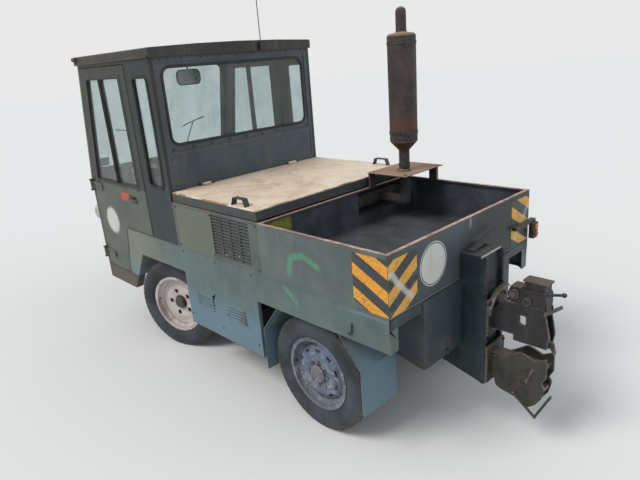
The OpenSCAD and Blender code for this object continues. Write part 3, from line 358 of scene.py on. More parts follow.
def rusty_iron(name, dark, light, crust, roughness=0.75, scale=1.0, band=None, metallic=0.25,
               top=tint(124, 108, 92), lying=0.5):
    """Bare or burnt iron with layers of rust."""
    b = Board(name)
    layers = b.noise(6.0 * scale, 6.0, 0.7, distortion=0.3)
    fine = b.noise(55.0 * scale, 5.0, 0.7, offset=(4, 2, 1))
    pits = b.cells(150.0 * scale)
    runs = b.noise(18.0 * scale, 4.0, 0.6, stretch=(1, 1, 0.12), offset=(5, 5, 2))
    colour = b.mix(layers.between(0.36, 0.66), dark, light)
    colour = b.mix((fine * 0.7 + runs * 0.5).between(0.52, 0.74) * 0.8, colour, crust)
    if band is not None:
        height = b.axes()[2]
        for middle, spread, shade in band:
            near = ((height - middle).size() + (layers - 0.5) * spread * 1.6).between(spread, spread * 0.3)
            colour = b.mix(near * 0.8, colour, shade)
    edge = b.mark("edge")
    bare = (edge + (fine - 0.5) * 0.02).between(0.006, 0.001)
    colour = b.mix(bare * 0.45, colour, tint(120, 112, 104))
    settled = b.facing().between(0.5, 0.95) * (0.35 + layers * 0.5 + fine * 0.3) * lying
    colour = b.mix(settled.kept(), colour, top)
    relief = fine * 0.7 + pits.between(0.5, 0.1) * -0.3 + layers * 0.6
    normal = b.bump(relief, 0.55, 0.0018)
    rough = (roughness + (fine - 0.5) * 0.3 - bare * 0.25).kept()
    return b.finish(colour, rough, normal, metallic)


def road_rubber():
    """Weathered tyre rubber: grey dust on the walls and brown soil near the tread."""
    b = Board("tyre_rubber")
    cloud = b.noise(5.0, 5.0, 0.6)
    fine = b.noise(90.0, 4.0, 0.7)
    crack = b.cells(70.0, "DISTANCE_TO_EDGE").between(0.03, 0.0)
    colour = b.mix(cloud.between(0.3, 0.7), tint(38, 40, 46), tint(66, 70, 78))
    soil = (b.mark("tread") * 0.75 + cloud * 0.6 + fine * 0.3 - 0.45).between(0.25, 0.85)
    colour = b.mix(soil * 0.6, colour, tint(96, 90, 84))
    colour = b.mix(fine.between(0.55, 0.8) * 0.35, colour, tint(120, 120, 120))
    colour = b.mix(crack * 0.35, colour, tint(20, 20, 22))
    normal = b.bump(fine * 0.6 + cloud * 0.3 - crack * 0.4, 0.4, 0.0012)
    return b.finish(colour, (0.82 + (fine - 0.5) * 0.2).kept(), normal)


def window_glass(name, film):
    """Clear glass under a thin film of dust and dried runs."""
    b = Board(name)
    cloud = b.noise(3.0, 5.0, 0.65)
    runs = b.noise(30.0, 3.0, 0.6, stretch=(1, 1, 0.05)).between(0.55, 0.72)
    film_mask = (cloud.between(0.35, 0.8) * 0.1 + runs * 0.08 + film).kept()
    clear = b.add("ShaderNodeBsdfTransparent", None, {"Color": tint(238, 243, 243)})
    gloss = b.add("ShaderNodeBsdfGlossy", None, {"Color": tint(235, 240, 240), "Roughness": 0.03})
    dusty = b.add("ShaderNodeBsdfPrincipled", None, {"Base Color": tint(188, 190, 184), "Roughness": 0.7})
    facing = b.add("ShaderNodeLayerWeight", None, {"Blend": 0.5}, out="Facing")
    shine = facing.power(4.0) * 0.45 + 0.03
    pane = b.add("ShaderNodeMixShader", None, {0: shine, 1: clear, 2: gloss})
    b.end(b.add("ShaderNodeMixShader", None, {0: film_mask, 1: pane, 2: dusty}))
    return b.material


def black_rubber():
    """Rubber strip, greyed by weather."""
    b = Board("seal_rubber")
    fine = b.noise(120.0, 4.0, 0.7)
    cloud = b.noise(6.0, 4.0, 0.6)
    colour = b.mix((cloud * 0.6 + fine * 0.5).between(0.45, 0.8), tint(22, 23, 24), tint(72, 72, 68))
    normal = b.bump(fine, 0.3, 0.0008)
    return b.finish(colour, (0.7 + (cloud - 0.5) * 0.3).kept(), normal)


def moulded_plastic(name, base, dust=0.4):
    """Fine-grained plastic, faded in clouds, with dust on top."""
    b = Board(name)
    fine = b.noise(220.0, 3.0, 0.6)
    cloud = b.noise(7.0, 4.0, 0.6)
    worn = tuple(min(1, c * 1.9 + 0.02) for c in base[:3]) + (1.0,)
    colour = b.mix(cloud.between(0.35, 0.75) * 0.5, base, worn)
    powder = (b.facing().between(0.3, 0.95) * (0.4 + cloud) * dust).kept()
    colour = b.mix(powder, colour, tint(130, 122, 108))
    return b.finish(colour, (0.5 + fine * 0.15 + powder * 0.3).kept(), b.bump(fine, 0.25, 0.0006))


def plated_metal(name, base, rust=0.4):
    """Plated or polished metal with spots of rust."""
    b = Board(name)
    fine = b.noise(90.0, 5.0, 0.7)
    cloud = b.noise(14.0, 5.0, 0.65)
    mask = (cloud * 0.8 + fine * 0.5).between(0.72 - rust * 0.2, 0.82 - rust * 0.2)
    colour = b.mix(mask, base, tint(96, 60, 40))
    rough = (0.32 + mask * 0.45 + (fine - 0.5) * 0.12).kept()
    return b.finish(colour, rough, b.bump(fine + mask, 0.3, 0.0008), (0.95 - mask * 0.8).kept())


def seat_leather():
    """Creased black seat cover with a fine grain."""
    b = Board("seat_cover")
    grain = b.cells(260.0)
    crease = b.noise(9.0, 5.0, 0.7, distortion=0.8)
    colour = b.mix(crease.between(0.4, 0.72), tint(30, 30, 31), tint(64, 62, 58))
    powder = b.facing().between(0.5, 0.95) * (0.25 + crease * 0.4)
    colour = b.mix(powder * 0.5, colour, tint(112, 106, 94))
    normal = b.bump(grain * -0.4 + crease * 0.7, 0.4, 0.0012)
    return b.finish(colour, (0.55 + (crease - 0.5) * 0.3).kept(), normal)


def warning_stripes(name, lean, start, pitch, low, high):
    """Slanting orange and black bars, cracked and chipped, with a sprayed stroke and haze over them."""
    b = Board(name)
    uv = b.add("ShaderNodeUVMap", {"uv_map": "face"})
    along, up, _ = b.axes(uv)
    ragged = b.noise(70.0, 4.0, 0.7) * 0.006 - 0.003
    slope = (up - along * lean + ragged - start) / pitch + 0.25
    wave = b.add("ShaderNodeMath", {"operation": "PINGPONG"}, {0: slope, 1: 0.5})
    bars = wave.between(0.235, 0.265)
    cloud = b.noise(6.0, 4.0, 0.6)
    colour = b.mix(bars, b.mix(cloud, tint(44, 48, 50), tint(66, 70, 70)), b.mix(cloud, low, high))
    cracks = b.cells(46.0, "DISTANCE_TO_EDGE").between(0.045, 0.012)
    cracks = cracks * b.noise(8.0, 3.0).between(0.38, 0.52)
    chips = b.noise(60.0, 5.0, 0.75, offset=(2, 3, 1)).between(0.61, 0.65)
    chips = chips * b.noise(7.0, 3.0, offset=(4, 1, 1)).between(0.4, 0.55)
    colour = b.mix((cracks * 0.75).higher(chips), colour, tint(58, 54, 46))
    stroke = segment_mask(b, along, up, [((0.02, 1.10), (0.17, 0.94))], mm(16), 0.03)
    mist = b.noise(26.0, 5.0, 0.75, offset=(7, 7, 7)).between(0.5, 0.75) * 0.35
    haze = b.mark("haze") * (stroke + mist).kept()
    colour = b.mix(haze, colour, tint(196, 200, 198))
    colour = b.mix(b.noise(3.0, 5.0).between(0.45, 0.8) * 0.2, colour, tint(120, 112, 98))
    relief = cracks * -1.0 - chips * 1.2 + cloud * 0.2
    return b.finish(colour, (0.5 + chips * 0.3 + cracks * 0.2).kept(), b.bump(relief, 0.4, 0.0008))


def disc_face():
    """A blank round plate: white with a thin dark ring inside its white edge, scuffed."""
    b = Board("disc_plate")
    ring_low, ring_high, soft = 0.9, 0.955, 0.012
    inner, ring = tint(206, 208, 204), tint(44, 48, 52)
    uv = b.add("ShaderNodeUVMap", {"uv_map": "face"})
    along, up, _ = b.axes(uv)
    reach = (along * along + up * up).power(0.5) + b.noise(60.0, 3.0) * 0.012 - 0.006
    band = reach.between(ring_low - soft, ring_low + soft)
    band = band * reach.between(ring_high + soft, ring_high - soft)
    colour = b.mix(b.noise(9.0, 4.0), inner, darker(inner, 0.8))
    colour = b.mix(band * 0.9, colour, ring)
    wear = b.noise(40.0, 5.0, 0.75, offset=(1, 2, 3)).between(0.6, 0.68)
    wear = wear * b.noise(9.0, 3.0, offset=(3, 3, 3)).between(0.4, 0.62)
    colour = b.mix(wear * 0.7, colour, tint(92, 90, 78))
    runs = b.noise(40.0, 3.0, 0.6, stretch=(1, 1, 0.08)).between(0.55, 0.75)
    colour = b.mix(runs * 0.25, colour, tint(120, 112, 98))
    return b.finish(colour, (0.5 + wear * 0.3).kept(), b.bump(wear * -1.0, 0.4, 0.0006))


def blank_sticker(name, base, fade):
    """A faded sticker, peeling in specks."""
    b = Board(name)
    cloud = b.noise(14.0, 5.0, 0.7)
    peel = b.noise(55.0, 5.0, 0.75, offset=(3, 1, 4)).between(0.62, 0.68)
    colour = b.mix(cloud.between(0.3, 0.75), base, fade)
    colour = b.mix(peel * 0.8, colour, tint(150, 146, 136))
    return b.finish(colour, (0.45 + peel * 0.3).kept(), b.bump(peel * -1.0 + cloud * 0.3, 0.3, 0.0005))


def lens_cover(name, base, ribs=60.0):
    """Ribbed lamp glass or plastic, with dust in its ribs."""
    b = Board(name)
    wave = b.add("ShaderNodeTexWave", {"bands_direction": "Y"}, {"Vector": b.place, "Scale": ribs})
    cloud = b.noise(20.0, 4.0, 0.6)
    colour = b.mix(cloud * 0.5, base, darker(base, 0.6))
    colour = b.mix(b.noise(60.0, 4.0).between(0.5, 0.75) * 0.35, colour, tint(140, 134, 122))
    return b.finish(colour, (0.18 + cloud * 0.2).kept(), b.bump(wave, 0.5, 0.001), Coat_Weight=0.4)


# Mesh building


def link(name, mesh):
    """Puts a mesh in the scene as an object of its own."""
    piece = bpy.data.objects.new(name, mesh)
    bpy.context.scene.collection.objects.link(piece)
    return piece


def baked(piece):
    """Turns the piece's live modifiers into plain mesh."""
    bpy.context.view_layer.update()
    graph = bpy.context.evaluated_depsgraph_get()
    live = piece.evaluated_get(graph)
    mesh = bpy.data.meshes.new_from_object(live, preserve_all_data_layers=True, depsgraph=graph)
    old = piece.data
    piece.modifiers.clear()
    piece.data = mesh
    bpy.data.meshes.remove(old)
    return piece


def body_of(node):
    """The body that a CAD node moves with."""
    return frame["nodes"][node]["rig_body"]


def mesh_of(name, form):
    """A mesh made from a form, which is freed."""
    mesh = bpy.data.meshes.new(name)
    form.to_mesh(mesh)
    form.free()
    return mesh


def store(mesh, label, values):
    """Keeps one number for each point of a mesh."""
    layer = mesh.attributes.new(label, "FLOAT", "POINT")
    layer.data.foreach_set("value", values)


def clothe(piece, material, body, replaces=()):
    """Gives a piece its material and the body it moves with, and hides the nodes it stands for."""
    piece.data.materials.clear()
    piece.data.materials.append(material)
    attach(piece, body)
    if replaces:
        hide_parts(*replaces)
    return piece


def soften(piece, angle=35):
    """Smooth shading that keeps hard edges, with flat faces left flat."""
    mesh = piece.data
    mesh.polygons.foreach_set("use_smooth", [True] * len(mesh.polygons))
    mesh.set_sharp_from_angle(angle=math.radians(angle))
    weighted = piece.modifiers.new("Flat faces", "WEIGHTED_NORMAL")
    weighted.keep_sharp = True
    weighted.weight = 90
    return baked(piece)


# Distances in metres that wear marks read: the farthest one kept, and what small fittings carry instead
FAR = 0.08
PLAIN_MARKS = (("edge", 0.02), ("nook", FAR))


def mark_distances(form, convex, concave):
    """Stores at each point how far it lies from the nearest outer edge and inner corner."""
    step_length = mm(12)
    for name, edges in (("edge", convex), ("nook", concave)):
        layer = form.verts.layers.float.new(name)
        spots = []
        for start, end in edges:
            steps = max(1, int((end - start).length / step_length))
            spots += [start.lerp(end, k / steps) for k in range(steps + 1)]
        if not spots:
            for vert in form.verts:
                vert[layer] = FAR
            continue
        tree = KDTree(len(spots))
        for index, spot in enumerate(spots):
            tree.insert(spot, index)
        tree.balance()
        for vert in form.verts:
            vert[layer] = min(FAR, tree.find(vert.co)[2])


def slice_grid(form, spacing):
    """Cuts the form along even planes, so that marks at its points follow its large faces."""
    low = [min(v.co[k] for v in form.verts) for k in range(3)]
    high = [max(v.co[k] for v in form.verts) for k in range(3)]
    for axis in range(3):
        facing = Vector([float(k == axis) for k in range(3)])
        count = int((high[axis] - low[axis]) / spacing)
        for step in range(1, count + 1):
            spot = facing * (low[axis] + (high[axis] - low[axis]) * step / (count + 1))
            everything = form.verts[:] + form.edges[:] + form.faces[:]
            bmesh.ops.bisect_plane(form, geom=everything, dist=1e-6, plane_co=spot, plane_no=facing)


def hard_edges(form, angle=0.6):
    """Edges where the surface turns by more than an angle in radians."""
    return [e for e in form.edges if len(e.link_faces) == 2 and e.calc_face_angle(0) > angle]


def round_outer(form, width, angle=0.6):
    """Rounds the form's sharp outer edges."""
    outer = [e for e in hard_edges(form, angle) if e.is_convex]
    bmesh.ops.bevel(form, geom=outer, offset=width, segments=2, profile=0.5, affect="EDGES",
                    clamp_overlap=True, offset_type="OFFSET")


def edges_broken(form, width):
    """The form with its outer edges rounded, by less where the full width would throw points off it."""
    surface = BVHTree.FromBMesh(form)
    for share in (1.0, 0.5, 0.2):
        trial = form.copy()
        round_outer(trial, width * share)
        if all(surface.find_nearest(v.co)[3] <= width * share * 1.5 for v in trial.verts):
            form.free()
            return trial
        trial.free()
    return form


def skin(node, finish_name, bevel=None, spacing=None):
    """A finished copy of a CAD node: edges broken, cut fine enough for its marks, softly shaded."""
    if bevel is None:
        bevel = in_mm(sizes().edge_round)
    if spacing is None:
        spacing = in_mm(sizes().mark_spacing)
    piece = link(node + "_skin", frame["nodes"][node].data.copy())
    form = bmesh.new()
    form.from_mesh(piece.data)
    bmesh.ops.remove_doubles(form, verts=form.verts[:], dist=2e-5)
    bmesh.ops.dissolve_degenerate(form, edges=form.edges[:], dist=1e-5)
    flat = math.radians(1.0)
    bmesh.ops.dissolve_limit(form, angle_limit=flat, verts=form.verts[:], edges=form.edges[:])
    convex, concave = [], []
    for edge in hard_edges(form):
        ends = (edge.verts[0].co.copy(), edge.verts[1].co.copy())
        (convex if edge.is_convex else concave).append(ends)
    if bevel:
        form = edges_broken(form, mm(bevel))
    if spacing:
        # A margin inside each wide face keeps the marks of its edges near them
        margin, narrow = mm(6), mm(8)
        wide = [f for f in form.faces if f.calc_area() > f.calc_perimeter() * narrow]
        bmesh.ops.inset_individual(form, faces=wide, thickness=margin, use_even_offset=False)
        slice_grid(form, mm(spacing))
    mark_distances(form, convex, concave)
    form.to_mesh(piece.data)
    form.free()
    soften(piece)
    return clothe(piece, finish(finish_name), body_of(node), replaces=(node,))


def from_form(name, form, material, body, replaces=(), bevel=0.0, angle=35):
    """Makes a piece from closed shells, with their faces turned outwards."""
    bmesh.ops.remove_doubles(form, verts=form.verts[:], dist=1e-6)
    bmesh.ops.recalc_face_normals(form, faces=form.faces[:])
    if bevel:
        round_outer(form, mm(bevel), 0.5)
    piece = link(name, mesh_of(name, form))
    for label, value in PLAIN_MARKS:
        store(piece.data, label, [value] * len(piece.data.vertices))
    soften(piece, angle)
    clothe(piece, material, body, replaces)


def add_prism(form, outline, depth, place):
    """Adds a closed prism: an outline in millimetres, raised by a depth, put down by a 4x4 place."""
    lower = [form.verts.new(place @ Vector((mm(a), mm(b), 0))) for a, b in outline]
    upper = [form.verts.new(place @ Vector((mm(a), mm(b), mm(depth)))) for a, b in outline]
    count = len(outline)
    form.faces.new(lower[::-1])
    form.faces.new(upper)
    for k in range(count):
        n = (k + 1) % count
        form.faces.new((lower[k], lower[n], upper[n], upper[k]))


def circle(radius, count, middle=(0, 0)):
    """Points spaced evenly on a circle."""
    turn = [2 * math.pi * k / count for k in range(count)]
    return [(middle[0] + radius * math.cos(a), middle[1] + radius * math.sin(a)) for a in turn]


def add_lathe(form, profile, place, count=48, closed=True):
    """Adds a turned shape: pairs of radius and height in millimetres about the local Z axis."""
    rings = []
    for radius, height in profile:
        spots = circle(radius, count) if radius else [(0, 0)]
        rings.append([form.verts.new(place @ Vector((mm(x), mm(y), mm(height)))) for x, y in spots])
    following = rings[1:] + rings[:1] if closed else rings[1:]
    for first, second in zip(rings, following):
        for k in range(count):
            n = (k + 1) % count
            if len(first) == 1 and len(second) == 1:
                continue
            if len(first) == 1:
                form.faces.new((first[0], second[n], second[k]))
            elif len(second) == 1:
                form.faces.new((first[k], first[n], second[0]))
            else:
                form.faces.new((first[k], first[n], second[n], second[k]))


def add_tube(form, path, radius, sides=8):
    """Adds a round tube along a path of places, with closed ends and its radius in millimetres."""
    rings = []
    # A direction that no tube here runs along
    up = Vector((0.13, 0.31, 0.94))
    for k, spot in enumerate(path):
        before = path[max(k - 1, 0)]
        after = path[min(k + 1, len(path) - 1)]
        along = (after - before).normalized()
        side = along.cross(up).normalized()
        rise = side.cross(along).normalized()
        rings.append([form.verts.new(spot + side * mm(x) + rise * mm(y)) for x, y in circle(radius, sides)])
    for first, second in zip(rings, rings[1:]):
        for s in range(sides):
            n = (s + 1) % sides
            form.faces.new((first[s], first[n], second[n], second[s]))
    form.faces.new(rings[0][::-1])
    form.faces.new(rings[-1])


# Turns of an outline drawn in X and Y: upright along a side, with its depth to that side, and upright
# across the rear, with its depth backwards
SIDEWAYS = {side: Matrix(((1, 0, 0, 0), (0, 0, side, 0), (0, 1, 0, 0), (0, 0, 0, 1))) for _, side in SIDES}
FACING_REAR = Matrix(((0, 0, -1, 0), (-1, 0, 0, 0), (0, 1, 0, 0), (0, 0, 0, 1)))


def turned(axis, place):
    """A 4x4 place whose local Z runs along an axis."""
    return Matrix.Translation(place) @ Vector(axis).to_track_quat("Z", "Y").to_matrix().to_4x4()


def turned_piece(name, profile, place, count, material, closed=False, replaces=(), angle=35):
    """A turned piece that stays on the chassis."""
    form = bmesh.new()
    add_lathe(form, profile, place, count, closed)
    from_form(name, form, material, "chassis", replaces, angle=angle)


def rounded(x0, x1, y0, y1, radius, steps=6):
    """Outline of a rectangle with round corners, anticlockwise."""
    points = []
    left, right, low, high = x0 + radius, x1 - radius, y0 + radius, y1 - radius
    for cx, cy, start in ((right, high, 0), (left, high, 90), (left, low, 180), (right, low, 270)):
        for k in range(steps + 1):
            a = math.radians(start + 90 * k / steps)
            points.append((cx + radius * math.cos(a), cy + radius * math.sin(a)))
    return points


def corner_rounded(corners, radius, steps=4):
    """Outline of a convex figure with its corners rounded."""
    points = []
    count = len(corners)
    for k, corner in enumerate(corners):
        spot = Vector(corner)
        before = (Vector(corners[k - 1]) - spot).normalized()
        after = (Vector(corners[(k + 1) % count]) - spot).normalized()
        start, end = spot + before * radius, spot + after * radius
        for step in range(steps + 1):
            t = step / steps
            points.append(tuple(start.lerp(spot, t).lerp(spot.lerp(end, t), t)))
    return points


# Geometry Nodes


def node_group(name, inputs, build):
    """A Geometry Nodes tree with a mesh in and out and named sizes between them."""
    tree = bpy.data.node_groups.new(name, "GeometryNodeTree")
    tree.interface.new_socket("Geometry", in_out="INPUT", socket_type="NodeSocketGeometry")
    tree.interface.new_socket("Geometry", in_out="OUTPUT", socket_type="NodeSocketGeometry")
    for label, kind in inputs.items():
        tree.interface.new_socket(label, in_out="INPUT", socket_type=kind)
    inlet = tree.nodes.new("NodeGroupInput")
    outlet = tree.nodes.new("NodeGroupOutput")

    def put(kind, settings=None, values=None):
        """Adds a node: its settings first, then the values or links of its sockets."""
        node = tree.nodes.new(kind)
        for key, value in (settings or {}).items():
            setattr(node, key, value)
        for key, value in (values or {}).items():
            if isinstance(value, bpy.types.NodeSocket):
                tree.links.new(value, node.inputs[key])
            else:
                node.inputs[key].default_value = value
        return node

    def sums(operation, first, *second):
        """The result of a Math node."""
        values = dict(enumerate((first,) + second))
        return put("ShaderNodeMath", {"operation": operation}, values).outputs[0]

    result = build(put, sums, inlet.outputs)
    whole = put("GeometryNodeRealizeInstances", None, {"Geometry": result})
    values = {"Geometry": whole.outputs[0], "Material": inlet.outputs["Material"]}
    coated = put("GeometryNodeSetMaterial", None, values)
    tree.links.new(coated.outputs[0], outlet.inputs[0])
    return tree


def grown(name, tree, mesh, inputs, material, body, angle=35, place=None, tread=0.0):
    """Runs a Geometry Nodes tree on a mesh and keeps the result as a plain piece."""
    piece = link(name, mesh)
    modifier = piece.modifiers.new(tree.name, "NODES")
    modifier.node_group = tree
    sockets = {item.name: item.identifier for item in tree.interface.items_tree if item.in_out == "INPUT"}
    for label, value in {**inputs, "Material": material}.items():
        modifier[sockets[label]] = value
    baked(piece)
    if not piece.data.polygons:
        raise RuntimeError(name + " came out empty")
    if place is not None:
        piece.data.transform(place)
    for label, value in PLAIN_MARKS + (("tread", tread),):
        store(piece.data, label, [value] * len(piece.data.vertices))
    soften(piece, angle)
    clothe(piece, material, body)


@cache
def bolt_tree():
    """Hexagon heads on washers, one at each point, standing along its facing."""
    kinds = {"Head radius": "NodeSocketFloat", "Head height": "NodeSocketFloat", "Sides": "NodeSocketInt",
             "Material": "NodeSocketMaterial"}

    def build(put, sums, inputs):
        facing = put("GeometryNodeInputNamedAttribute", {"data_type": "FLOAT_VECTOR"}, {"Name": "facing"})
        spin = put("FunctionNodeRandomValue", {"data_type": "FLOAT"}, {2: 0.0, 3: 6.28, "Seed": 7})
        washer_r = sums("MULTIPLY", inputs["Head radius"], 1.55)
        washer_h = sums("MULTIPLY", inputs["Head height"], 0.3)
        values = {"Vertices": 16, "Radius": washer_r, "Depth": washer_h}
        washer = put("GeometryNodeMeshCylinder", None, values)
        values = {"Vertices": inputs["Sides"], "Radius": inputs["Head radius"],
                  "Depth": inputs["Head height"]}
        head = put("GeometryNodeMeshCylinder", None, values)
        offset = put("ShaderNodeCombineXYZ", None, {"Z": sums("MULTIPLY", inputs["Head height"], 0.5)})
        values = {"Geometry": head.outputs["Mesh"], "Translation": offset.outputs[0]}
        raised = put("GeometryNodeTransform", None, values)
        both = put("GeometryNodeJoinGeometry")
        both.id_data.links.new(washer.outputs["Mesh"], both.inputs[0])
        both.id_data.links.new(raised.outputs[0], both.inputs[0])
        about = put("FunctionNodeAxisAngleToRotation", None, {"Axis": (0, 0, 1), "Angle": spin.outputs[1]})
        values = {"Rotation": about.outputs[0], "Vector": facing.outputs["Attribute"]}
        aim = put("FunctionNodeAlignRotationToVector", {"axis": "Z"}, values)
        values = {"Points": inputs["Geometry"], "Instance": both.outputs[0], "Rotation": aim.outputs[0]}
        return put("GeometryNodeInstanceOnPoints", None, values).outputs[0]

    return node_group("Bolt heads", kinds, build)


@cache
def seal_tree():
    """A strip of round section along the edges of a loop of points."""
    kinds = {"Section radius": "NodeSocketFloat", "Section sides": "NodeSocketInt",
             "Material": "NodeSocketMaterial"}

    def build(put, sums, inputs):
        path = put("GeometryNodeMeshToCurve", None, {"Mesh": inputs["Geometry"]})
        values = {"Resolution": inputs["Section sides"], "Radius": inputs["Section radius"]}
        ring = put("GeometryNodeCurvePrimitiveCircle", None, values)
        values = {"Curve": path.outputs[0], "Profile Curve": ring.outputs["Curve"], "Fill Caps": True}
        return put("GeometryNodeCurveToMesh", None, values).outputs[0]

    return node_group("Rubber strip", kinds, build)


@cache
def tread_tree():
    """Rows of tread blocks round a tyre, each row turned by a share of a block."""
    kinds = {"Blocks": "NodeSocketInt", "Tyre radius": "NodeSocketFloat", "Block length": "NodeSocketFloat",
             "Block width": "NodeSocketFloat", "Block height": "NodeSocketFloat",
             "Material": "NodeSocketMaterial"}

    def build(put, sums, inputs):
        values = {"X": inputs["Block length"], "Y": inputs["Block width"], "Z": inputs["Block height"]}
        size = put("ShaderNodeCombineXYZ", None, values)
        block = put("GeometryNodeMeshCube", None, {"Size": size.outputs[0]})
        line = put("GeometryNodeMeshLine", {"mode": "OFFSET"}, {"Count": inputs["Blocks"]})
        share = sums("DIVIDE", put("GeometryNodeInputIndex").outputs[0], inputs["Blocks"])
        angle = sums("MULTIPLY", share, 2 * math.pi)
        along = sums("MULTIPLY", sums("SINE", angle), inputs["Tyre radius"])
        upward = sums("MULTIPLY", sums("COSINE", angle), inputs["Tyre radius"])
        spot = put("ShaderNodeCombineXYZ", None, {"X": along, "Z": upward})
        values = {"Geometry": line.outputs[0], "Position": spot.outputs[0]}
        ring = put("GeometryNodeSetPosition", None, values)
        aim = put("FunctionNodeAxisAngleToRotation", None, {"Axis": (0, 1, 0), "Angle": angle})
        values = {"Points": ring.outputs[0], "Instance": block.outputs["Mesh"], "Rotation": aim.outputs[0]}
        blocks = put("GeometryNodeInstanceOnPoints", None, values)
        row = put("GeometryNodeRealizeInstances", None, {"Geometry": blocks.outputs[0]})
        twist = put("GeometryNodeInputNamedAttribute", {"data_type": "FLOAT"}, {"Name": "twist"})
        values = {"Axis": (0, 1, 0), "Angle": twist.outputs["Attribute"]}
        about = put("FunctionNodeAxisAngleToRotation", None, values)
        values = {"Points": inputs["Geometry"], "Instance": row.outputs[0], "Rotation": about.outputs[0]}
        return put("GeometryNodeInstanceOnPoints", None, values).outputs[0]

    return node_group("Tread blocks", kinds, build)


def bolts(name, spots, material, body, radius, height):
    """Hexagon heads at a list of places and facings."""
    mesh = bpy.data.meshes.new(name)
    mesh.from_pydata([place for place, _ in spots], [], [])
    layer = mesh.attributes.new("facing", "FLOAT_VECTOR", "POINT")
    layer.data.foreach_set("vector", [c for _, facing in spots for c in facing])
    values = {"Head radius": mm(radius), "Head height": mm(height), "Sides": 6}
    grown(name, bolt_tree(), mesh, values, material, body)


def seal(name, loop, radius, material, body, closed=True):
    """A rubber strip through a loop of places."""
    mesh = bpy.data.meshes.new(name)
    count = len(loop)
    edges = [(k, (k + 1) % count) for k in range(count if closed else count - 1)]
    mesh.from_pydata(loop, edges, [])
    values = {"Section radius": mm(radius), "Section sides": 8}
    grown(name, seal_tree(), mesh, values, material, body, angle=60)


# Sizes and colours that a user may change


class TractorSizes(bpy.types.PropertyGroup):
    """Sizes of the finishing details."""

    edge_round: bpy.props.FloatProperty(
        name="Edge rounding", description="Rounding of sheet and plate edges",
        default=0.0012, min=0.0005, max=0.003, subtype="DISTANCE", unit="LENGTH")
    mark_spacing: bpy.props.FloatProperty(
        name="Mark spacing", description="Distance between the cuts that carry wear marks",
        default=0.07, min=0.04, max=0.2, subtype="DISTANCE", unit="LENGTH")
    stripe_pitch: bpy.props.FloatProperty(
        name="Stripe pitch", description="Height from one orange bar to the next",
        default=0.1206, min=0.08, max=0.16, subtype="DISTANCE", unit="LENGTH")
    seal_radius: bpy.props.FloatProperty(
        name="Seal radius", description="Radius of the rubber strips round the panes",
        default=0.008, min=0.004, max=0.012, subtype="DISTANCE", unit="LENGTH")
    tread_blocks: bpy.props.IntProperty(
        name="Tread blocks", description="Blocks in each row of a tyre's tread", default=52, min=30, max=70)
    disc_radius: bpy.props.FloatProperty(
        name="Disc radius", description="Radius of the blank round plates",
        default=0.112, min=0.08, max=0.13, subtype="DISTANCE", unit="LENGTH")


class TractorColours(bpy.types.PropertyGroup):
    """Main colours of the paint."""

    olive: bpy.props.FloatVectorProperty(
        name="Cab paint", description="Dull green of the cab and bed sides", subtype="COLOR", size=4,
        min=0.0, max=1.0, default=tint(74, 81, 73))
    olive_faded: bpy.props.FloatVectorProperty(
        name="Faded cab paint", description="The cab's green where it has faded", subtype="COLOR", size=4,
        min=0.0, max=1.0, default=tint(98, 106, 95))
    skirt: bpy.props.FloatVectorProperty(
        name="Skirt paint", description="Grey blue-green of the lower body", subtype="COLOR", size=4,
        min=0.0, max=1.0, default=tint(78, 94, 94))
    skirt_faded: bpy.props.FloatVectorProperty(
        name="Faded skirt paint", description="The lower body where it has faded", subtype="COLOR", size=4,
        min=0.0, max=1.0, default=tint(100, 117, 116))
    lid: bpy.props.FloatVectorProperty(
        name="Lid paint", description="Sun-bleached tan of the engine lid", subtype="COLOR", size=4,
        min=0.0, max=1.0, default=tint(232, 210, 182))


def sizes():
    """The sizes that a user may change."""
    return bpy.context.scene.tractor_sizes


def colour_of(name):
    """One of the colours that a user may change."""
    return tuple(getattr(bpy.context.scene.tractor_colours, name))


GREEN_SPRAY = tint(84, 150, 118)


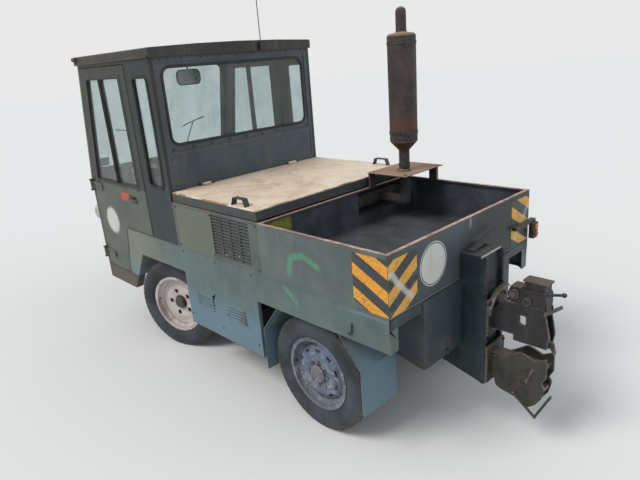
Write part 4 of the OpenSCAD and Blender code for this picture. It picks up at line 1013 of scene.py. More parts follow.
def bed_colours(b, colour):
    """Dark worn inside, a bare pinkish rim, painted shade on the rear face, darkest on its right, and a patch
    of old yellow-green paint.
    """
    x, y, z = b.axes()
    side = (y - HOME.y).size()
    ahead = x - HOME.x
    # Painted shade: the rear face is darkened where the light does not reach it
    rear = ahead.between(mm(3), mm(1))
    colour = b.mix(rear * 0.85, colour, b.mix(b.noise(4.0, 5.0, 0.6), tint(50, 60, 66), tint(74, 84, 90)))
    # More painted shade, darkest on the rear face's right half
    right = (y - HOME.y).between(mm(160), mm(-220)) * rear
    colour = b.mix(right * 0.85, colour, b.mix(b.noise(5.0, 5.0, 0.6), tint(20, 25, 25), tint(36, 40, 39)))
    streak = (y - HOME.y + mm(10)).size().between(mm(15), mm(5)) * z.between(mm(1100), mm(1180)) * rear
    colour = b.mix(streak * b.noise(30.0, 4.0, 0.7).between(0.35, 0.6) * 0.7, colour, tint(150, 172, 180))
    inside = side.between(mm(HALF - 1), mm(HALF - 3)) * ahead.between(mm(1), mm(3))
    inside = inside * ahead.between(mm(NICHE_END - 2), mm(NICHE_END - 4))
    cloud = b.noise(5.0, 6.0, 0.7, offset=(3, 3, 3)).between(0.35, 0.7)
    floor = b.mix(cloud, tint(38, 44, 53), tint(70, 76, 86))
    floor = b.mix(b.noise(22.0, 5.0, 0.75, distortion=0.6).between(0.58, 0.72) * 0.4, floor, tint(96, 84, 78))
    colour = b.mix(inside * 0.92, colour, floor)
    old = ahead.between(mm(BED_END - 15), mm(BED_END - 10)) * (y - HOME.y).between(mm(422), mm(436)) * inside
    old = old * z.between(mm(1062), mm(1120)) * b.noise(14.0, 5.0, 0.7).between(0.3, 0.5)
    colour = b.mix(old * 0.85, colour, b.mix(b.noise(20.0), tint(104, 116, 36), tint(156, 158, 62)))
    rim = b.facing().between(0.6, 0.9) * (z - mm(RIM)).size().between(mm(14), mm(9))
    bare = b.mix(b.noise(30.0, 5.0, 0.7).between(0.35, 0.65), tint(222, 184, 168), tint(168, 128, 112))
    return b.mix(rim * 0.92, colour, bare)


def spray(b, colour, lines, shade, width=20.0):
    """A soft stroke of sprayed paint on the left side, its lines in metres."""
    x, y, z = b.axes()
    mask = segment_mask(b, x - HOME.x, z, lines, mm(width))
    mask = mask * (y - HOME.y - mm(HALF)).size().between(mm(9), mm(6))
    mask = mask * (0.45 + b.noise(70.0, 4.0, 0.7).between(0.35, 0.65) * 0.5)
    return b.mix(mask, colour, shade)


def lower_colours(b, colour):
    """Olive ahead, a bluish painted glare low down, a pale streak under the seam and a dab of green spray."""
    x, _, z = b.axes()
    ahead = x - HOME.x
    front = ahead.between(mm(1900), mm(2350)) * 0.85
    colour = b.mix(front, colour, b.mix(b.noise(3.0, 5.0, 0.6), tint(104, 109, 92), tint(128, 131, 116)))
    old = b.noise(6.0, 6.0, 0.7, distortion=0.8, offset=(5, 8, 2)).between(0.54, 0.66)
    colour = b.mix(old * 0.4, colour, tint(98, 101, 84))
    # Painted glare: a bluish haze of light laid into the paint low on the body and its guards
    painted_glare = z.between(0.72, 0.46) * (0.5 + b.noise(2.4, 4.0, 0.6, offset=(4, 4, 4)) * 0.5)
    colour = b.mix(painted_glare * 0.9, colour, tint(94, 129, 148))
    colour = spray(b, colour, [((0.720, 0.858), (0.640, 0.800))], GREEN_SPRAY, 17.0)
    streak = (z - mm(SEAM - 22)).size().between(mm(14), mm(4)) * ahead.between(mm(330), mm(250))
    streak = streak * b.noise(34.0, 4.0, 0.7, stretch=(0.2, 1, 3)).between(0.42, 0.6)
    return b.mix(streak * 0.4, colour, tint(132, 156, 172))


def bed_marks(b, colour):
    """The bed's colours with a soft arc of green spray on its left side."""
    arc = [(0.450, 1.040), (0.560, 1.078), (0.650, 1.050), (0.676, 0.972)]
    return spray(b, bed_colours(b, colour), list(zip(arc, arc[1:])), GREEN_SPRAY)


def side_colours(b, colour):
    """A paler access panel ahead of the grille, with a thin dark joint round it, and painted shade over the
    grille.
    """
    x, _, z = b.axes()
    ahead = x - HOME.x
    panel_end, vent_low, vent_high, joint_height = 1795, 918, 1183, 1188
    panel = ahead.between(mm(GRILLE_END - 3), mm(GRILLE_END))
    panel = panel * ahead.between(mm(panel_end + 2), mm(panel_end - 1))
    shade = b.mix(b.noise(3.0, 5.0, 0.6), tint(88, 96, 78), tint(112, 118, 98))
    colour = b.mix(panel * 0.7, colour, shade)
    # Painted shade: the grille's whole area is darkened like the shade in its slots
    vent = ahead.between(mm(GRILLE_START), mm(GRILLE_START + 3))
    vent = vent * ahead.between(mm(GRILLE_END + 3), mm(GRILLE_END))
    vent = vent * z.between(mm(vent_low), mm(vent_low + 4)) * z.between(mm(vent_high), mm(vent_high - 4))
    colour = b.mix(vent * 0.6, colour, tint(40, 46, 52))
    upright = (ahead - mm(panel_end)).size().between(mm(3.5), mm(1.5))
    level = (z - mm(joint_height)).size().between(mm(3), mm(1))
    return b.mix(upright.higher(level) * 0.8, colour, tint(34, 38, 38))


def tower_marks(b, colour):
    """A pale line along the tower's top, bare metal with a painted highlight, and pale flecks on its left
    side.
    """
    x, _, z = b.axes()
    ahead = x - HOME.x
    # The pale line on the top edge: bare metal and a painted highlight
    line = (ahead - mm(TOWER_REAR)).size().between(mm(6), mm(3))
    line = line * z.between(mm(TOWER_TOP - 9), mm(TOWER_TOP - 5))
    line = line * b.noise(60.0, 3.0, 0.6, offset=(1, 1, 4)).between(0.3, 0.45)
    flecks = b.noise(90.0, 4.0, 0.7).between(0.63, 0.68) * (z - 0.85).size().between(0.09, 0.03)
    flecks = flecks * (ahead + mm(60)).size().between(mm(45), mm(25))
    return b.mix(line.higher(flecks * 0.7), colour, tint(186, 190, 184))


def door_colours(b, colour):
    """A dark painted frame round the panes, and darker paint above the waist."""
    y, z = b.axes()[1:]
    frame_foot = WAIST - 30
    colour = b.mix(z.between(mm(frame_foot), mm(WAIST - 5)) * 0.85, colour, tint(38, 40, 37))
    proud = (y - HOME.y).size().between(mm(HALF + 1), mm(HALF + 2))
    proud = proud * z.between(mm(frame_foot), mm(frame_foot + 7))
    return b.mix(proud * 0.85, colour, tint(44, 50, 48))


def lid_colours(b, colour):
    """Dark green-grey edges round the bleached top, with rust stains spreading from them."""
    z = b.axes()[2]
    top = z.between(mm(LID_TOP - 8), mm(LID_TOP - 5)) * b.facing().between(-0.2, 0.0)
    edge = b.mix(b.noise(12.0, 4.0), tint(48, 56, 60), tint(78, 84, 84))
    colour = b.mix(top, edge, colour)
    tea = b.noise(2.6, 6.0, 0.7, distortion=0.7, offset=(6, 2, 4)).between(0.46, 0.66)
    colour = b.mix(tea * top * 0.38, colour, tint(166, 124, 98))
    grey = b.noise(4.4, 6.0, 0.72, distortion=0.9, offset=(1, 6, 2)).between(0.53, 0.64) * top
    return b.mix(grey * 0.32, colour, tint(150, 142, 132))


def rim_colours(b, colour):
    """The front rim's dark hub, and painted shade on its surfaces behind the disc, standing for the brake
    drum seen through the holes of its disc.
    """
    reach = b.mark("reach")
    hub = reach.between(mm(60), mm(54))
    # Painted shade: the rim's surfaces behind its disc are darkened like the shaded drum behind its holes
    drum = b.mark("deep").between(mm(1), mm(-3)) * reach.between(mm(162), mm(156))
    shade = b.mix(b.noise(40.0, 4.0, 0.7), tint(40, 42, 46), tint(74, 74, 74))
    return b.mix(hub.higher(drum), colour, shade)


def rear_rim_colours(b, colour):
    """Pale flaked places on the rear rim, and a pinkish cap on its hub."""
    flaked = b.noise(26.0, 6.0, 0.75, distortion=0.6, offset=(3, 1, 7)).between(0.51, 0.56)
    flaked = flaked * b.noise(6.0, 3.0, 0.6, offset=(2, 2, 9)).between(0.38, 0.52)
    colour = b.mix(flaked * 0.75, colour, tint(166, 170, 168))
    cap = b.mark("reach").between(mm(52), mm(46))
    shade = b.mix(b.noise(50.0, 4.0, 0.7), tint(84, 72, 82), tint(128, 112, 120))
    return b.mix(cap * 0.6, colour, shade)


def finish_makers():
    """The call that makes each finish, with its colours and wear."""
    olive, olive_faded = colour_of("olive"), colour_of("olive_faded")
    skirt, skirt_faded = colour_of("skirt"), colour_of("skirt_faded")
    pitch = sizes().stripe_pitch
    # Burnt places of the exhaust: height, spread and colour
    bands = [(1.597, 0.05, tint(96, 60, 46)), (1.45, 0.04, tint(78, 56, 48)), (2.13, 0.03, tint(62, 52, 50))]
    return {
        "cab": partial(worn_paint, "cab_paint", olive, olive_faded, rust=0.3, dust=0.35, scratch=0.35,
            streak=0.45),
        "door": partial(worn_paint, "door_paint", olive, olive_faded, rust=0.3, dust=0.35, scratch=0.35,
            streak=0.45, extra=door_colours),
        "quarter": partial(worn_paint, "quarter_paint", tint(28, 41, 42), tint(43, 56, 56), rust=0.25,
            dust=0.25, scratch=0.35, streak=0.4, dust_tint=tint(78, 88, 88)),
        "rear_wall": partial(worn_paint, "rear_wall_paint", tint(54, 67, 77), tint(76, 88, 96), rust=0.2,
            dust=0.3, scratch=0.4, streak=0.45),
        "roof": partial(worn_paint, "roof_paint", tint(38, 38, 39), tint(60, 60, 54), rust=0.35, dust=0.5,
            scratch=0.2, dust_tint=tint(128, 120, 100)),
        "bed": partial(worn_paint, "bed_paint", tint(82, 94, 92), tint(106, 118, 114), rust=0.3, dust=0.16,
            scratch=0.45, streak=0.45, extra=bed_marks),
        "skirt": partial(worn_paint, "skirt_paint", skirt, skirt_faded, rust=0.35, dust=0.35, mud=0.25,
            scratch=0.7, streak=0.5, primer=tint(168, 174, 172), extra=lower_colours),
        "side": partial(worn_paint, "engine_side_paint", tint(74, 83, 80), tint(98, 107, 103), rust=0.12,
            dust=0.25, scratch=0.45, streak=0.45, extra=side_colours),
        "lid": partial(worn_paint, "lid_paint", colour_of("lid"), tint(246, 228, 206), rust=0.5, dust=0.06,
            scratch=0.35, streak=0.0, primer=tint(150, 140, 130), rust_tint=tint(132, 88, 62), patches=0.3,
            extra=lid_colours, shine=0.3),
        "sill": partial(worn_paint, "sill_paint", tint(64, 60, 54), tint(88, 78, 68), rust=0.8, dust=0.45,
            mud=0.4, scratch=0.4, patches=0.7, rust_tint=tint(104, 68, 48)),
        "chassis": partial(worn_paint, "chassis_paint", tint(42, 52, 58), tint(64, 74, 80), rust=0.35,
            dust=0.4, mud=0.3, scratch=0.4, patches=0.2),
        "tower": partial(worn_paint, "tower_paint", tint(24, 36, 42), tint(40, 53, 59), rust=0.35, dust=0.3,
            scratch=0.8, streak=0.3, primer=tint(158, 164, 166), rust_tint=tint(84, 58, 46), shine=0.3,
            chip=0.005, extra=tower_marks),
        "lining": partial(worn_paint, "cab_lining", tint(50, 54, 54), tint(74, 76, 72), rust=0.2, dust=0.5,
            scratch=0.3),
        "handle": partial(worn_paint, "handle_paint", tint(28, 30, 32), tint(52, 52, 52), rust=0.3,
            dust=0.3, scratch=0.4),
        "front_rim": partial(worn_paint, "front_rim_paint", tint(190, 180, 176), tint(212, 202, 196),
            rust=0.35, dust=0.2, scratch=0.3, streak=0.0, primer=tint(128, 108, 98),
            dust_tint=tint(136, 122, 110), patches=0.08, rust_tint=tint(120, 84, 66), extra=rim_colours),
        # The rear rim's blue-grey is its paint with a bluish painted glare in its colour
        "rear_rim": partial(worn_paint, "rear_rim_paint", tint(76, 92, 114), tint(98, 114, 138), rust=0.4,
            dust=0.45, mud=0.2, scratch=0.9, streak=0.0, primer=tint(184, 186, 180),
            dust_tint=tint(124, 122, 118), extra=rear_rim_colours),
        "coupling": partial(rusty_iron, "coupling_iron", tint(20, 19, 24), tint(40, 38, 43),
            tint(56, 50, 48), 0.6, 1.3, metallic=0.1),
        "lower_coupling": partial(rusty_iron, "lower_coupling_iron", tint(34, 36, 34), tint(58, 60, 54),
            tint(72, 62, 50), 0.65, 1.2, metallic=0.1),
        "exhaust": partial(rusty_iron, "exhaust_steel", tint(50, 48, 51), tint(76, 71, 72),
            tint(90, 70, 62), 0.8, 0.8, bands, top=tint(176, 142, 118), lying=1.0),
        "muffler": partial(rusty_iron, "muffler_steel", tint(40, 42, 48), tint(66, 66, 70),
            tint(84, 70, 64), 0.8, 0.9),
        "iron": partial(rusty_iron, "engine_iron", tint(48, 50, 50), tint(74, 74, 70), tint(88, 66, 52),
            0.7),
        "rubber": road_rubber,
        "glass": partial(window_glass, "cab_glass", 0.01),
        "door_glass": partial(window_glass, "door_glass", 0.07),
        "seal": black_rubber,
        "plastic": partial(moulded_plastic, "black_plastic", tint(30, 30, 31)),
        "dial": partial(moulded_plastic, "pale_dial", tint(196, 198, 192), 0.2),
        "steel": partial(plated_metal, "worn_steel", tint(120, 118, 114), 0.6),
        "chrome": partial(plated_metal, "lamp_chrome", tint(190, 190, 188), 0.2),
        "mirror": partial(plated_metal, "mirror_glass", tint(186, 190, 188), 0.0),
        "seat": seat_leather,
        "stripes": partial(warning_stripes, "side_stripes", 0.5, 0.961, pitch, tint(216, 140, 34),
            tint(244, 176, 62)),
        "rear_stripes": partial(warning_stripes, "rear_stripes", 0.58, 0.951, pitch * 1.06,
            tint(206, 150, 48), tint(232, 178, 80)),
        "disc": disc_face,
        "sticker": partial(blank_sticker, "red_sticker", tint(186, 66, 42), tint(150, 72, 54)),
        "blue_sticker": partial(blank_sticker, "blue_sticker", tint(150, 172, 188), tint(176, 188, 194)),
        "red_lens": partial(lens_cover, "red_lens", tint(150, 26, 20)),
        "amber_lens": partial(lens_cover, "amber_lens", tint(206, 112, 26)),
        "clear_lens": partial(lens_cover, "clear_lens", tint(206, 208, 204), 30.0),
        "lamp_box": partial(worn_paint, "lamp_box_paint", tint(46, 46, 42), tint(66, 64, 58), rust=0.3,
            dust=0.4, scratch=0.4),
    }


@cache
def finish(name):
    """The material of a finish, made when it is first asked for."""
    return finish_makers()[name]()


# Operators, one for each piece or group of like pieces


class TRACTOR_OT_stage(bpy.types.Operator):
    """Floor, daylight and the camera at the photographed angle"""

    bl_idname = "tractor.stage"
    bl_label = "Stage"

    def execute(self, context):
        b = Board("stage_floor")
        speck = b.noise(30.0, 3.0)
        colour = b.mix(speck * 0.12, tint(230, 230, 228), tint(218, 218, 215))
        floor_finish = b.finish(colour, 0.95, Specular_IOR_Level=0.0)
        form = bmesh.new()
        bmesh.ops.create_circle(form, cap_ends=True, segments=96, radius=60.0)
        floor = link("floor", mesh_of("floor", form))
        floor.location.z = -0.0005
        floor.data.materials.append(floor_finish)
        context.scene.view_settings.view_transform = "Standard"
        world = bpy.data.worlds.new("pale_sky")
        context.scene.world = world
        sky = SkyBoard(world)
        rays = ("Is Camera Ray", "Is Transmission Ray", "Is Glossy Ray")
        camera_ray, transmission_ray, glossy_ray = sky.outlets(sky.add("ShaderNodeLightPath"), rays)
        seen = camera_ray.higher(transmission_ray).higher(glossy_ray)
        daylight = sky.add("ShaderNodeBackground", None, {"Color": tint(240, 246, 255), "Strength": 0.55})
        backdrop = sky.add("ShaderNodeBackground", None, {"Color": tint(232, 233, 232), "Strength": 1.0})
        blend = sky.add("ShaderNodeMixShader", None, {0: seen, 1: daylight, 2: backdrop})
        sky.end(blend, "ShaderNodeOutputWorld")
        # Each lamp: the direction that it shines from, its strength, softness in degrees and colour
        lamps = (
            ("key_light", (0.18, 0.62, 0.76), 1.8, 26.0, (1.0, 0.98, 0.95)),
            ("rear_fill", (-0.75, -0.35, 0.5), 0.55, 60.0, (0.97, 0.98, 1.0)),
        )
        for name, source, power, spread, shade in lamps:
            light = bpy.data.lights.new(name, "SUN")
            light.energy = power
            light.angle = math.radians(spread)
            light.color = shade
            lamp = bpy.data.objects.new(name, light)
            context.scene.collection.objects.link(lamp)
            lamp.rotation_mode = "QUATERNION"
            lamp.rotation_quaternion = Vector(source).to_track_quat("Z", "Y")
        # Camera as solved from the photograph: turns in degrees, place in millimetres, focal length in pixels
        yaw, pitch, roll = (math.radians(turn) for turn in (-43.37, 18.52, -4.55))
        place = at(-1412, 2405.6, 2037)
        focal_length, picture_width, sensor = 543.2, 640, 36.0
        ahead = Vector((math.cos(yaw) * math.cos(pitch), math.sin(yaw) * math.cos(pitch), -math.sin(pitch)))
        level = Vector((math.sin(yaw), -math.cos(yaw), 0))
        above = level.cross(ahead)
        right = math.cos(roll) * level + math.sin(roll) * above
        upward = -math.sin(roll) * level + math.cos(roll) * above
        camera = bpy.data.objects.new("photo_camera", bpy.data.cameras.new("photo_camera"))
        context.scene.collection.objects.link(camera)
        camera.data.sensor_width = sensor
        camera.data.lens = focal_length / picture_width * sensor
        aim = Matrix((right, upward, -ahead)).transposed()
        camera.matrix_world = Matrix.Translation(place) @ aim.to_4x4()
        context.scene.camera = camera
        return {"FINISHED"}


class TRACTOR_OT_chassis(bpy.types.Operator):
    """Frame rails, bearers, front beam and sills, axles, steering and engine"""

    bl_idname = "tractor.chassis"
    bl_label = "Chassis"

    def execute(self, context):
        for node in ("frame_rails", "bed_bearers"):
            skin(node, "chassis", spacing=110)
        skin("bumper", "sill")
        for node in ("front_axle", "rear_axle", "knuckle_left", "knuckle_right", "tie_rod"):
            skin(node, "chassis", bevel=0.8, spacing=110)
        skin("engine_block", "iron", bevel=3.0)
        return {"FINISHED"}


class TRACTOR_OT_lower_body(bpy.types.Operator):
    """Lower body sides with their wheel openings and guards, and the bead along the seam"""

    bl_idname = "tractor.lower_body"
    bl_label = "Lower body"

    def execute(self, context):
        for node in ("lower_body_left", "lower_body_right"):
            skin(node, "skirt", bevel=1.0)
        height, front_arch, corner = SEAM - 2, 2590, 676
        path = [at(x, HALF, height) for x in range(front_arch, 5, -40)]
        path += [at(0, y, height) for y in range(corner, -corner - 1, -52)]
        path += [at(x, -HALF, height) for x in range(30, front_arch + 1, 40)]
        seal("seam_bead", path, 4.0, finish("skirt"), "chassis", closed=False)
        return {"FINISHED"}


class TRACTOR_OT_cab_shell(bpy.types.Operator):
    """Cab front, rear wall, quarter panels and roof"""

    bl_idname = "tractor.cab_shell"
    bl_label = "Cab shell"

    def execute(self, context):
        skin("cab_front", "cab")
        skin("cab_rear_wall", "rear_wall")
        for word, _ in SIDES:
            skin("quarter_" + word, "quarter")
        skin("roof", "roof", bevel=2.0)
        skin("cab_floor", "lining")
        return {"FINISHED"}


class TRACTOR_OT_doors(bpy.types.Operator):
    """Both doors with their frames, handles and hinges"""

    bl_idname = "tractor.doors"
    bl_label = "Doors"

    def execute(self, context):
        wheel_side, rear = 2588, DOOR_REAR - 3
        for word, side in SIDES:
            skin("door_" + word, "door", bevel=1.0)
            gap = side * (HALF - 2)
            path = [at(wheel_side, gap, DOOR_FOOT)] + [at(x, gap, DOOR_FOOT) for x in range(2560, 2180, -60)]
            path += [at(rear, gap, DOOR_FOOT + 4)] + [at(rear, gap, z) for z in range(940, 2091, 50)]
            seal("door_seal_" + word, path, 5.5, finish("seal"), "chassis", closed=False)
        return {"FINISHED"}


SCREEN_TILT = math.atan2(SCREEN_RAKE, EAVES - WAIST)
SCREEN_LENGTH = math.hypot(SCREEN_RAKE, EAVES - WAIST)


def on_screen(y, up, out=0.0):
    """A point on the windscreen: how far across, up along its slope, and out from it."""
    sine, cosine = math.sin(SCREEN_TILT), math.cos(SCREEN_TILT)
    return at(FRONT - up * sine + out * cosine, y, WAIST + up * cosine + out * sine)


class TRACTOR_OT_glazing(bpy.types.Operator):
    """Window panes and the rubber strips round them"""

    bl_idname = "tractor.glazing"
    bl_label = "Glazing"

    def execute(self, context):
        for node in ("cab_glass", "door_glass_left", "door_glass_right"):
            pane = frame["nodes"][node]
            pane.data.materials.clear()
            pane.data.materials.append(finish("glass" if node == "cab_glass" else "door_glass"))
        radius = in_mm(sizes().seal_radius)
        rubber = finish("seal")
        rear = rounded(80 - HALF, HALF - 80, WAIST + 318, EAVES - 60, 60)
        loop = [at(BACK + 9, y, z) for y, z in rear]
        seal("rear_window_strip", loop, radius + 2, rubber, "chassis")
        screen = rounded(22, HALF - 60, 60, SCREEN_LENGTH - 60, 60)
        quarter = rounded(BACK + 65, DOOR_REAR - 100, WAIST + 34, EAVES - 110, 32)
        # Corners of a door's rear and front pane
        start, foot, head = DOOR_REAR + 103, WAIST + 5, EAVES - 106
        panes = (
            [(start, foot), (2575, foot), (2575, head), (start, head)],
            [(2595, foot), (2951, foot), (2798, head), (2595, head)],
        )
        for word, side in SIDES:
            loop = [on_screen(side * y, up, -1) for y, up in screen]
            seal("windscreen_strip_" + word, loop, radius, rubber, "chassis")
            loop = [at(x, side * (HALF - 1), z) for x, z in quarter]
            seal("quarter_strip_" + word, loop, radius + 2, rubber, "chassis")
            for count, corners in enumerate(panes, 1):
                loop = [at(x, side * (HALF + 1), z) for x, z in corner_rounded(corners, 14)]
                name = "door_strip_%s_%d" % (word, count)
                seal(name, loop, radius - 3, rubber, "door_" + word)
        return {"FINISHED"}


class TRACTOR_OT_wipers(bpy.types.Operator):
    """Wiper arms and blades on the windscreen"""

    bl_idname = "tractor.wipers"
    bl_label = "Wipers"

    def execute(self, context):
        pivot_y, pivot_up = 200, 22
        hub = [(0, 0), (17, 0), (16, 9), (8, 12), (8, 20), (0, 21)]
        # Points of arm and blade: across from the middle plane, up the screen's slope and out from it
        arm = [(pivot_y, pivot_up, 16), (222, 70, 19), (262, 180, 19), (318, 330, 17)]
        blade = [(205, 300, 11), (262, 318, 13), (318, 334, 13), (374, 348, 13), (432, 360, 11)]
        outward = (on_screen(0, 0, 1) - on_screen(0, 0, 0)).normalized()
        for word, side in SIDES:
            form = bmesh.new()
            add_lathe(form, hub, turned(outward, on_screen(side * pivot_y, pivot_up)), 24, closed=False)
            for path, radius in ((arm, 4), (blade, 5)):
                add_tube(form, [on_screen(side * y, up, out) for y, up, out in path], radius)
            from_form("wiper_" + word, form, finish("plastic"), "chassis", angle=50)
        return {"FINISHED"}


def pad_shell(centre, half):
    """A crowned closed form: even grid on a box, pulled in between its corners, full in its middle."""
    thin = mm(100)
    form = bmesh.new()
    bmesh.ops.create_cube(form, size=2.0)
    bmesh.ops.subdivide_edges(form, edges=form.edges[:], cuts=13, use_grid_fill=True)
    for vert in form.verts:
        unit = vert.co.copy()
        full = [(1 - unit[(k + 1) % 3] ** 4) * (1 - unit[(k + 2) % 3] ** 4) for k in range(3)]
        crown = [0.965 + 0.035 * f if half[k] > thin else 0.74 + 0.26 * f for k, f in enumerate(full)]
        reach = max(abs(c) for c in unit)
        blend = unit.normalized() * reach
        vert.co = Vector([(unit[k] * 0.8 + blend[k] * 0.2) * half[k] * crown[k] for k in range(3)])
    form.transform(Matrix.Translation(centre))
    return mesh_of("pad_shell", form)


def filled(piece, most):
    """Lets a pad swell as filled cloth, holds how far each point moves, and keeps the result."""
    remesh = piece.modifiers.new("Even mesh", "REMESH")
    remesh.mode = "VOXEL"
    remesh.voxel_size = mm(9)
    baked(piece)
    rest = [vert.co.copy() for vert in piece.data.vertices]
    last_frame = 20
    cloth = piece.modifiers.new("Filling", "CLOTH")
    cloth.settings.use_pressure = True
    cloth.settings.uniform_pressure_force = 4.0
    cloth.settings.effector_weights.gravity = 0.0
    for step in range(1, last_frame + 1):
        bpy.context.scene.frame_set(step)
    baked(piece)
    bpy.context.scene.frame_set(1)
    for vert, start in zip(piece.data.vertices, rest):
        move = vert.co - start
        if move.length > most:
            vert.co = start + move * (most / move.length)


def sewn(piece, axis, lines, inward, depth):
    """Pulls the cover in along sewn channels, and finishes it with one subdivision."""
    reach = mm(12)
    for vert in piece.data.vertices:
        near = min(abs(vert.co[axis] - line) for line in lines)
        vert.co -= Vector(inward) * depth * math.exp(-(near / reach) ** 2)
    smooth = piece.modifiers.new("Cover", "SUBSURF")
    smooth.levels = 1
    smooth.render_levels = 1
    baked(piece)
    piece.data.polygons.foreach_set("use_smooth", [True] * len(piece.data.polygons))


def held_within(piece, low, high):
    """Keeps every point of a pad inside the space that its solid holds, flat where it rests."""
    for vert in piece.data.vertices:
        vert.co = Vector([min(max(vert.co[k], low[k]), high[k]) for k in range(3)])


class TRACTOR_OT_seats(bpy.types.Operator):
    """Two padded seats on their boxes"""

    bl_idname = "tractor.seats"
    bl_label = "Seats"

    def execute(self, context):
        # Each pad: its ends, half width and heights, then its channels' axis, places and facing
        pads = (
            ("seat_cushion", (2040, 2500, 230, 880, 970), 1, (-110, 0, 110), (0, 0, 1)),
            ("seat_back", (2040, 2110, 230, 972, 1438), 2, (1090, 1205, 1320), (1, 0, 0)),
        )
        for name, (x0, x1, width, z0, z1), axis, lines, inward in pads:
            middle, low, high = at((x0 + x1) / 2, 0, (z0 + z1) / 2), at(x0, -width, z0), at(x1, width, z1)
            half = [(high[k] - low[k]) / 2 - mm(6) for k in range(3)]
            pad = link(name, pad_shell(middle, half))
            filled(pad, mm(9))
            held_within(pad, low, high)
            spots = [mm(line) + (HOME.y if axis == 1 else 0) for line in lines]
            sewn(pad, axis, spots, inward, mm(8))
            for word, side in SIDES:
                piece = link(name + "_" + word, pad.data.copy())
                piece.data.transform(Matrix.Translation((0, side * mm(SEAT_MIDDLE), 0)))
                clothe(piece, finish("seat"), "chassis", replaces=("seat",))
            shell = pad.data
            bpy.data.objects.remove(pad)
            bpy.data.meshes.remove(shell)
        for word, side in SIDES:
            middle = side * SEAT_MIDDLE
            form = bmesh.new()
            box = rounded(2062, 2438, middle - 188, middle + 188, 16, 3)
            add_prism(form, box, 150, Matrix.Translation(at(0, 0, 729)))
            from_form("seat_box_" + word, form, finish("lining"), "chassis", ("seat",), 4.0)
            path = [at(2052, middle + c, z) for c, z in rounded(-150, 150, 1010, 1400, 50, 3)]
            seal("seat_back_frame_" + word, path, 8.0, finish("plastic"), "chassis")
        return {"FINISHED"}


class TRACTOR_OT_cab_fittings(bpy.types.Operator):
    """Steering wheel, dials, pedals, hand-brake lever and inside mirror"""

    bl_idname = "tractor.cab_fittings"
    bl_label = "Cab fittings"

    def execute(self, context):
        skin("steering_wheel", "plastic", bevel=0, spacing=0)
        skin("dash", "lining", bevel=4.0)
        skin("cab_mirror", "plastic", bevel=3.0)
        mirror = Matrix.Translation(at(2790, -190, 1964)) @ FACING_REAR
        face_piece("mirror_face", rounded(-106, 106, -55, 55, 40), 1.2, mirror, finish("mirror"), "chassis")
        form = bmesh.new()
        rear_x, front_x, top_x, foot, top = 2892, 2962, 2930, 1224, 1304
        hood = [(rear_x, foot), (front_x, foot), (front_x, top - 4), (top_x, top)]
        add_prism(form, hood, 270, Matrix.Translation(at(0, 165, 0)) @ SIDEWAYS[1])
        from_form("dial_hood", form, finish("plastic"), "chassis", bevel=5.0)
        slope = Vector((foot - top, 0, top_x - rear_x)).normalized()
        parts = (
            ("dial_face_%d", "dial", [(0, -1), (26, -1), (26, 0.6), (0, 0.8)], False),
            ("dial_ring_%d", "chrome", [(26, -1), (31, -1), (31, 4), (28, 5), (26, 3)], True),
        )
        for count, y in enumerate((215, 300, 385), 1):
            place = turned(slope, at(2911, y, 1264) + slope * mm(0.2))
            for name, finish_name, profile, closed in parts:
                turned_piece(name % count, profile, place, 32, finish(finish_name), closed)
        form = bmesh.new()
        for y in (390, 210, 120):
            add_tube(form, [at(2955, y, 512), at(2945, y, 560), at(2915, y, 610)], 8)
            plate = Matrix.Translation(at(2912, y, 618)) @ Matrix.Rotation(math.radians(-55), 4, "Y")
            add_prism(form, rounded(-30, 30, -26, 26, 8, 3), 8, plate)
        from_form("pedals", form, finish("handle"), "chassis", angle=50)
        form = bmesh.new()
        lever_y = 40
        rod = [at(x, lever_y, z) for x, z in ((2600, 505), (2585, 640), (2560, 760))]
        grip = [at(x, lever_y, z) for x, z in ((2563, 745), (2558, 770), (2540, 850))]
        add_tube(form, rod, 9, 10)
        add_tube(form, grip, 16, 12)
        from_form("brake_lever", form, finish("plastic"), "chassis", angle=50)
        return {"FINISHED"}


class TRACTOR_OT_engine_bay(bpy.types.Operator):
    """Engine sides with their grilles, the lid and its handles"""

    bl_idname = "tractor.engine_bay"
    bl_label = "Engine bay"

    def execute(self, context):
        for word, _ in SIDES:
            skin("engine_side_" + word, "side", bevel=0)
        skin("engine_lid", "lid", bevel=2.0)
        skin("lid_handles", "handle", bevel=1.0, spacing=20)
        return {"FINISHED"}


class TRACTOR_OT_bed(bpy.types.Operator):
    """Load bed"""

    bl_idname = "tractor.bed"
    bl_label = "Load bed"

    def execute(self, context):
        skin("bed", "bed", bevel=1.5)
        return {"FINISHED"}


class TRACTOR_OT_exhaust(bpy.types.Operator):
    """Exhaust pipe, muffler, base plate and upright silencer"""

    bl_idname = "tractor.exhaust"
    bl_label = "Exhaust"

    def execute(self, context):
        skin("exhaust_pipe", "muffler", bevel=0)
        skin("exhaust_stack", "exhaust", bevel=1.0)
        form = bmesh.new()
        # Bands of the clamps: the pipe's radius, and the band's lower and upper edge
        for radius, low, high in ((88, 1538, 1556), (88, 2076, 2092), (34, 1322, 1344)):
            band = [(radius - 1, low), (radius + 3, low), (radius + 3, high), (radius - 1, high)]
            add_lathe(form, band, Matrix.Translation(at(STACK_X, STACK_Y, 0)))
            lug = Matrix.Translation(at(STACK_X, STACK_Y, low)) @ Matrix.Rotation(2.2, 4, "Z")
            add_prism(form, rounded(radius + 1, radius + 16, -9, 9, 3, 2), high - low, lug)
        from_form("exhaust_clamps", form, finish("muffler"), "chassis")
        return {"FINISHED"}


class TRACTOR_OT_couplings(bpy.types.Operator):
    """Coupling tower with its upper and lower couplings"""

    bl_idname = "tractor.couplings"
    bl_label = "Couplings"

    def execute(self, context):
        rows = (("tower", "tower"), ("upper_coupling", "coupling"), ("lower_coupling", "lower_coupling"))
        for node, finish_name in rows:
            skin(node, finish_name, bevel=2.0, spacing=60)
        return {"FINISHED"}


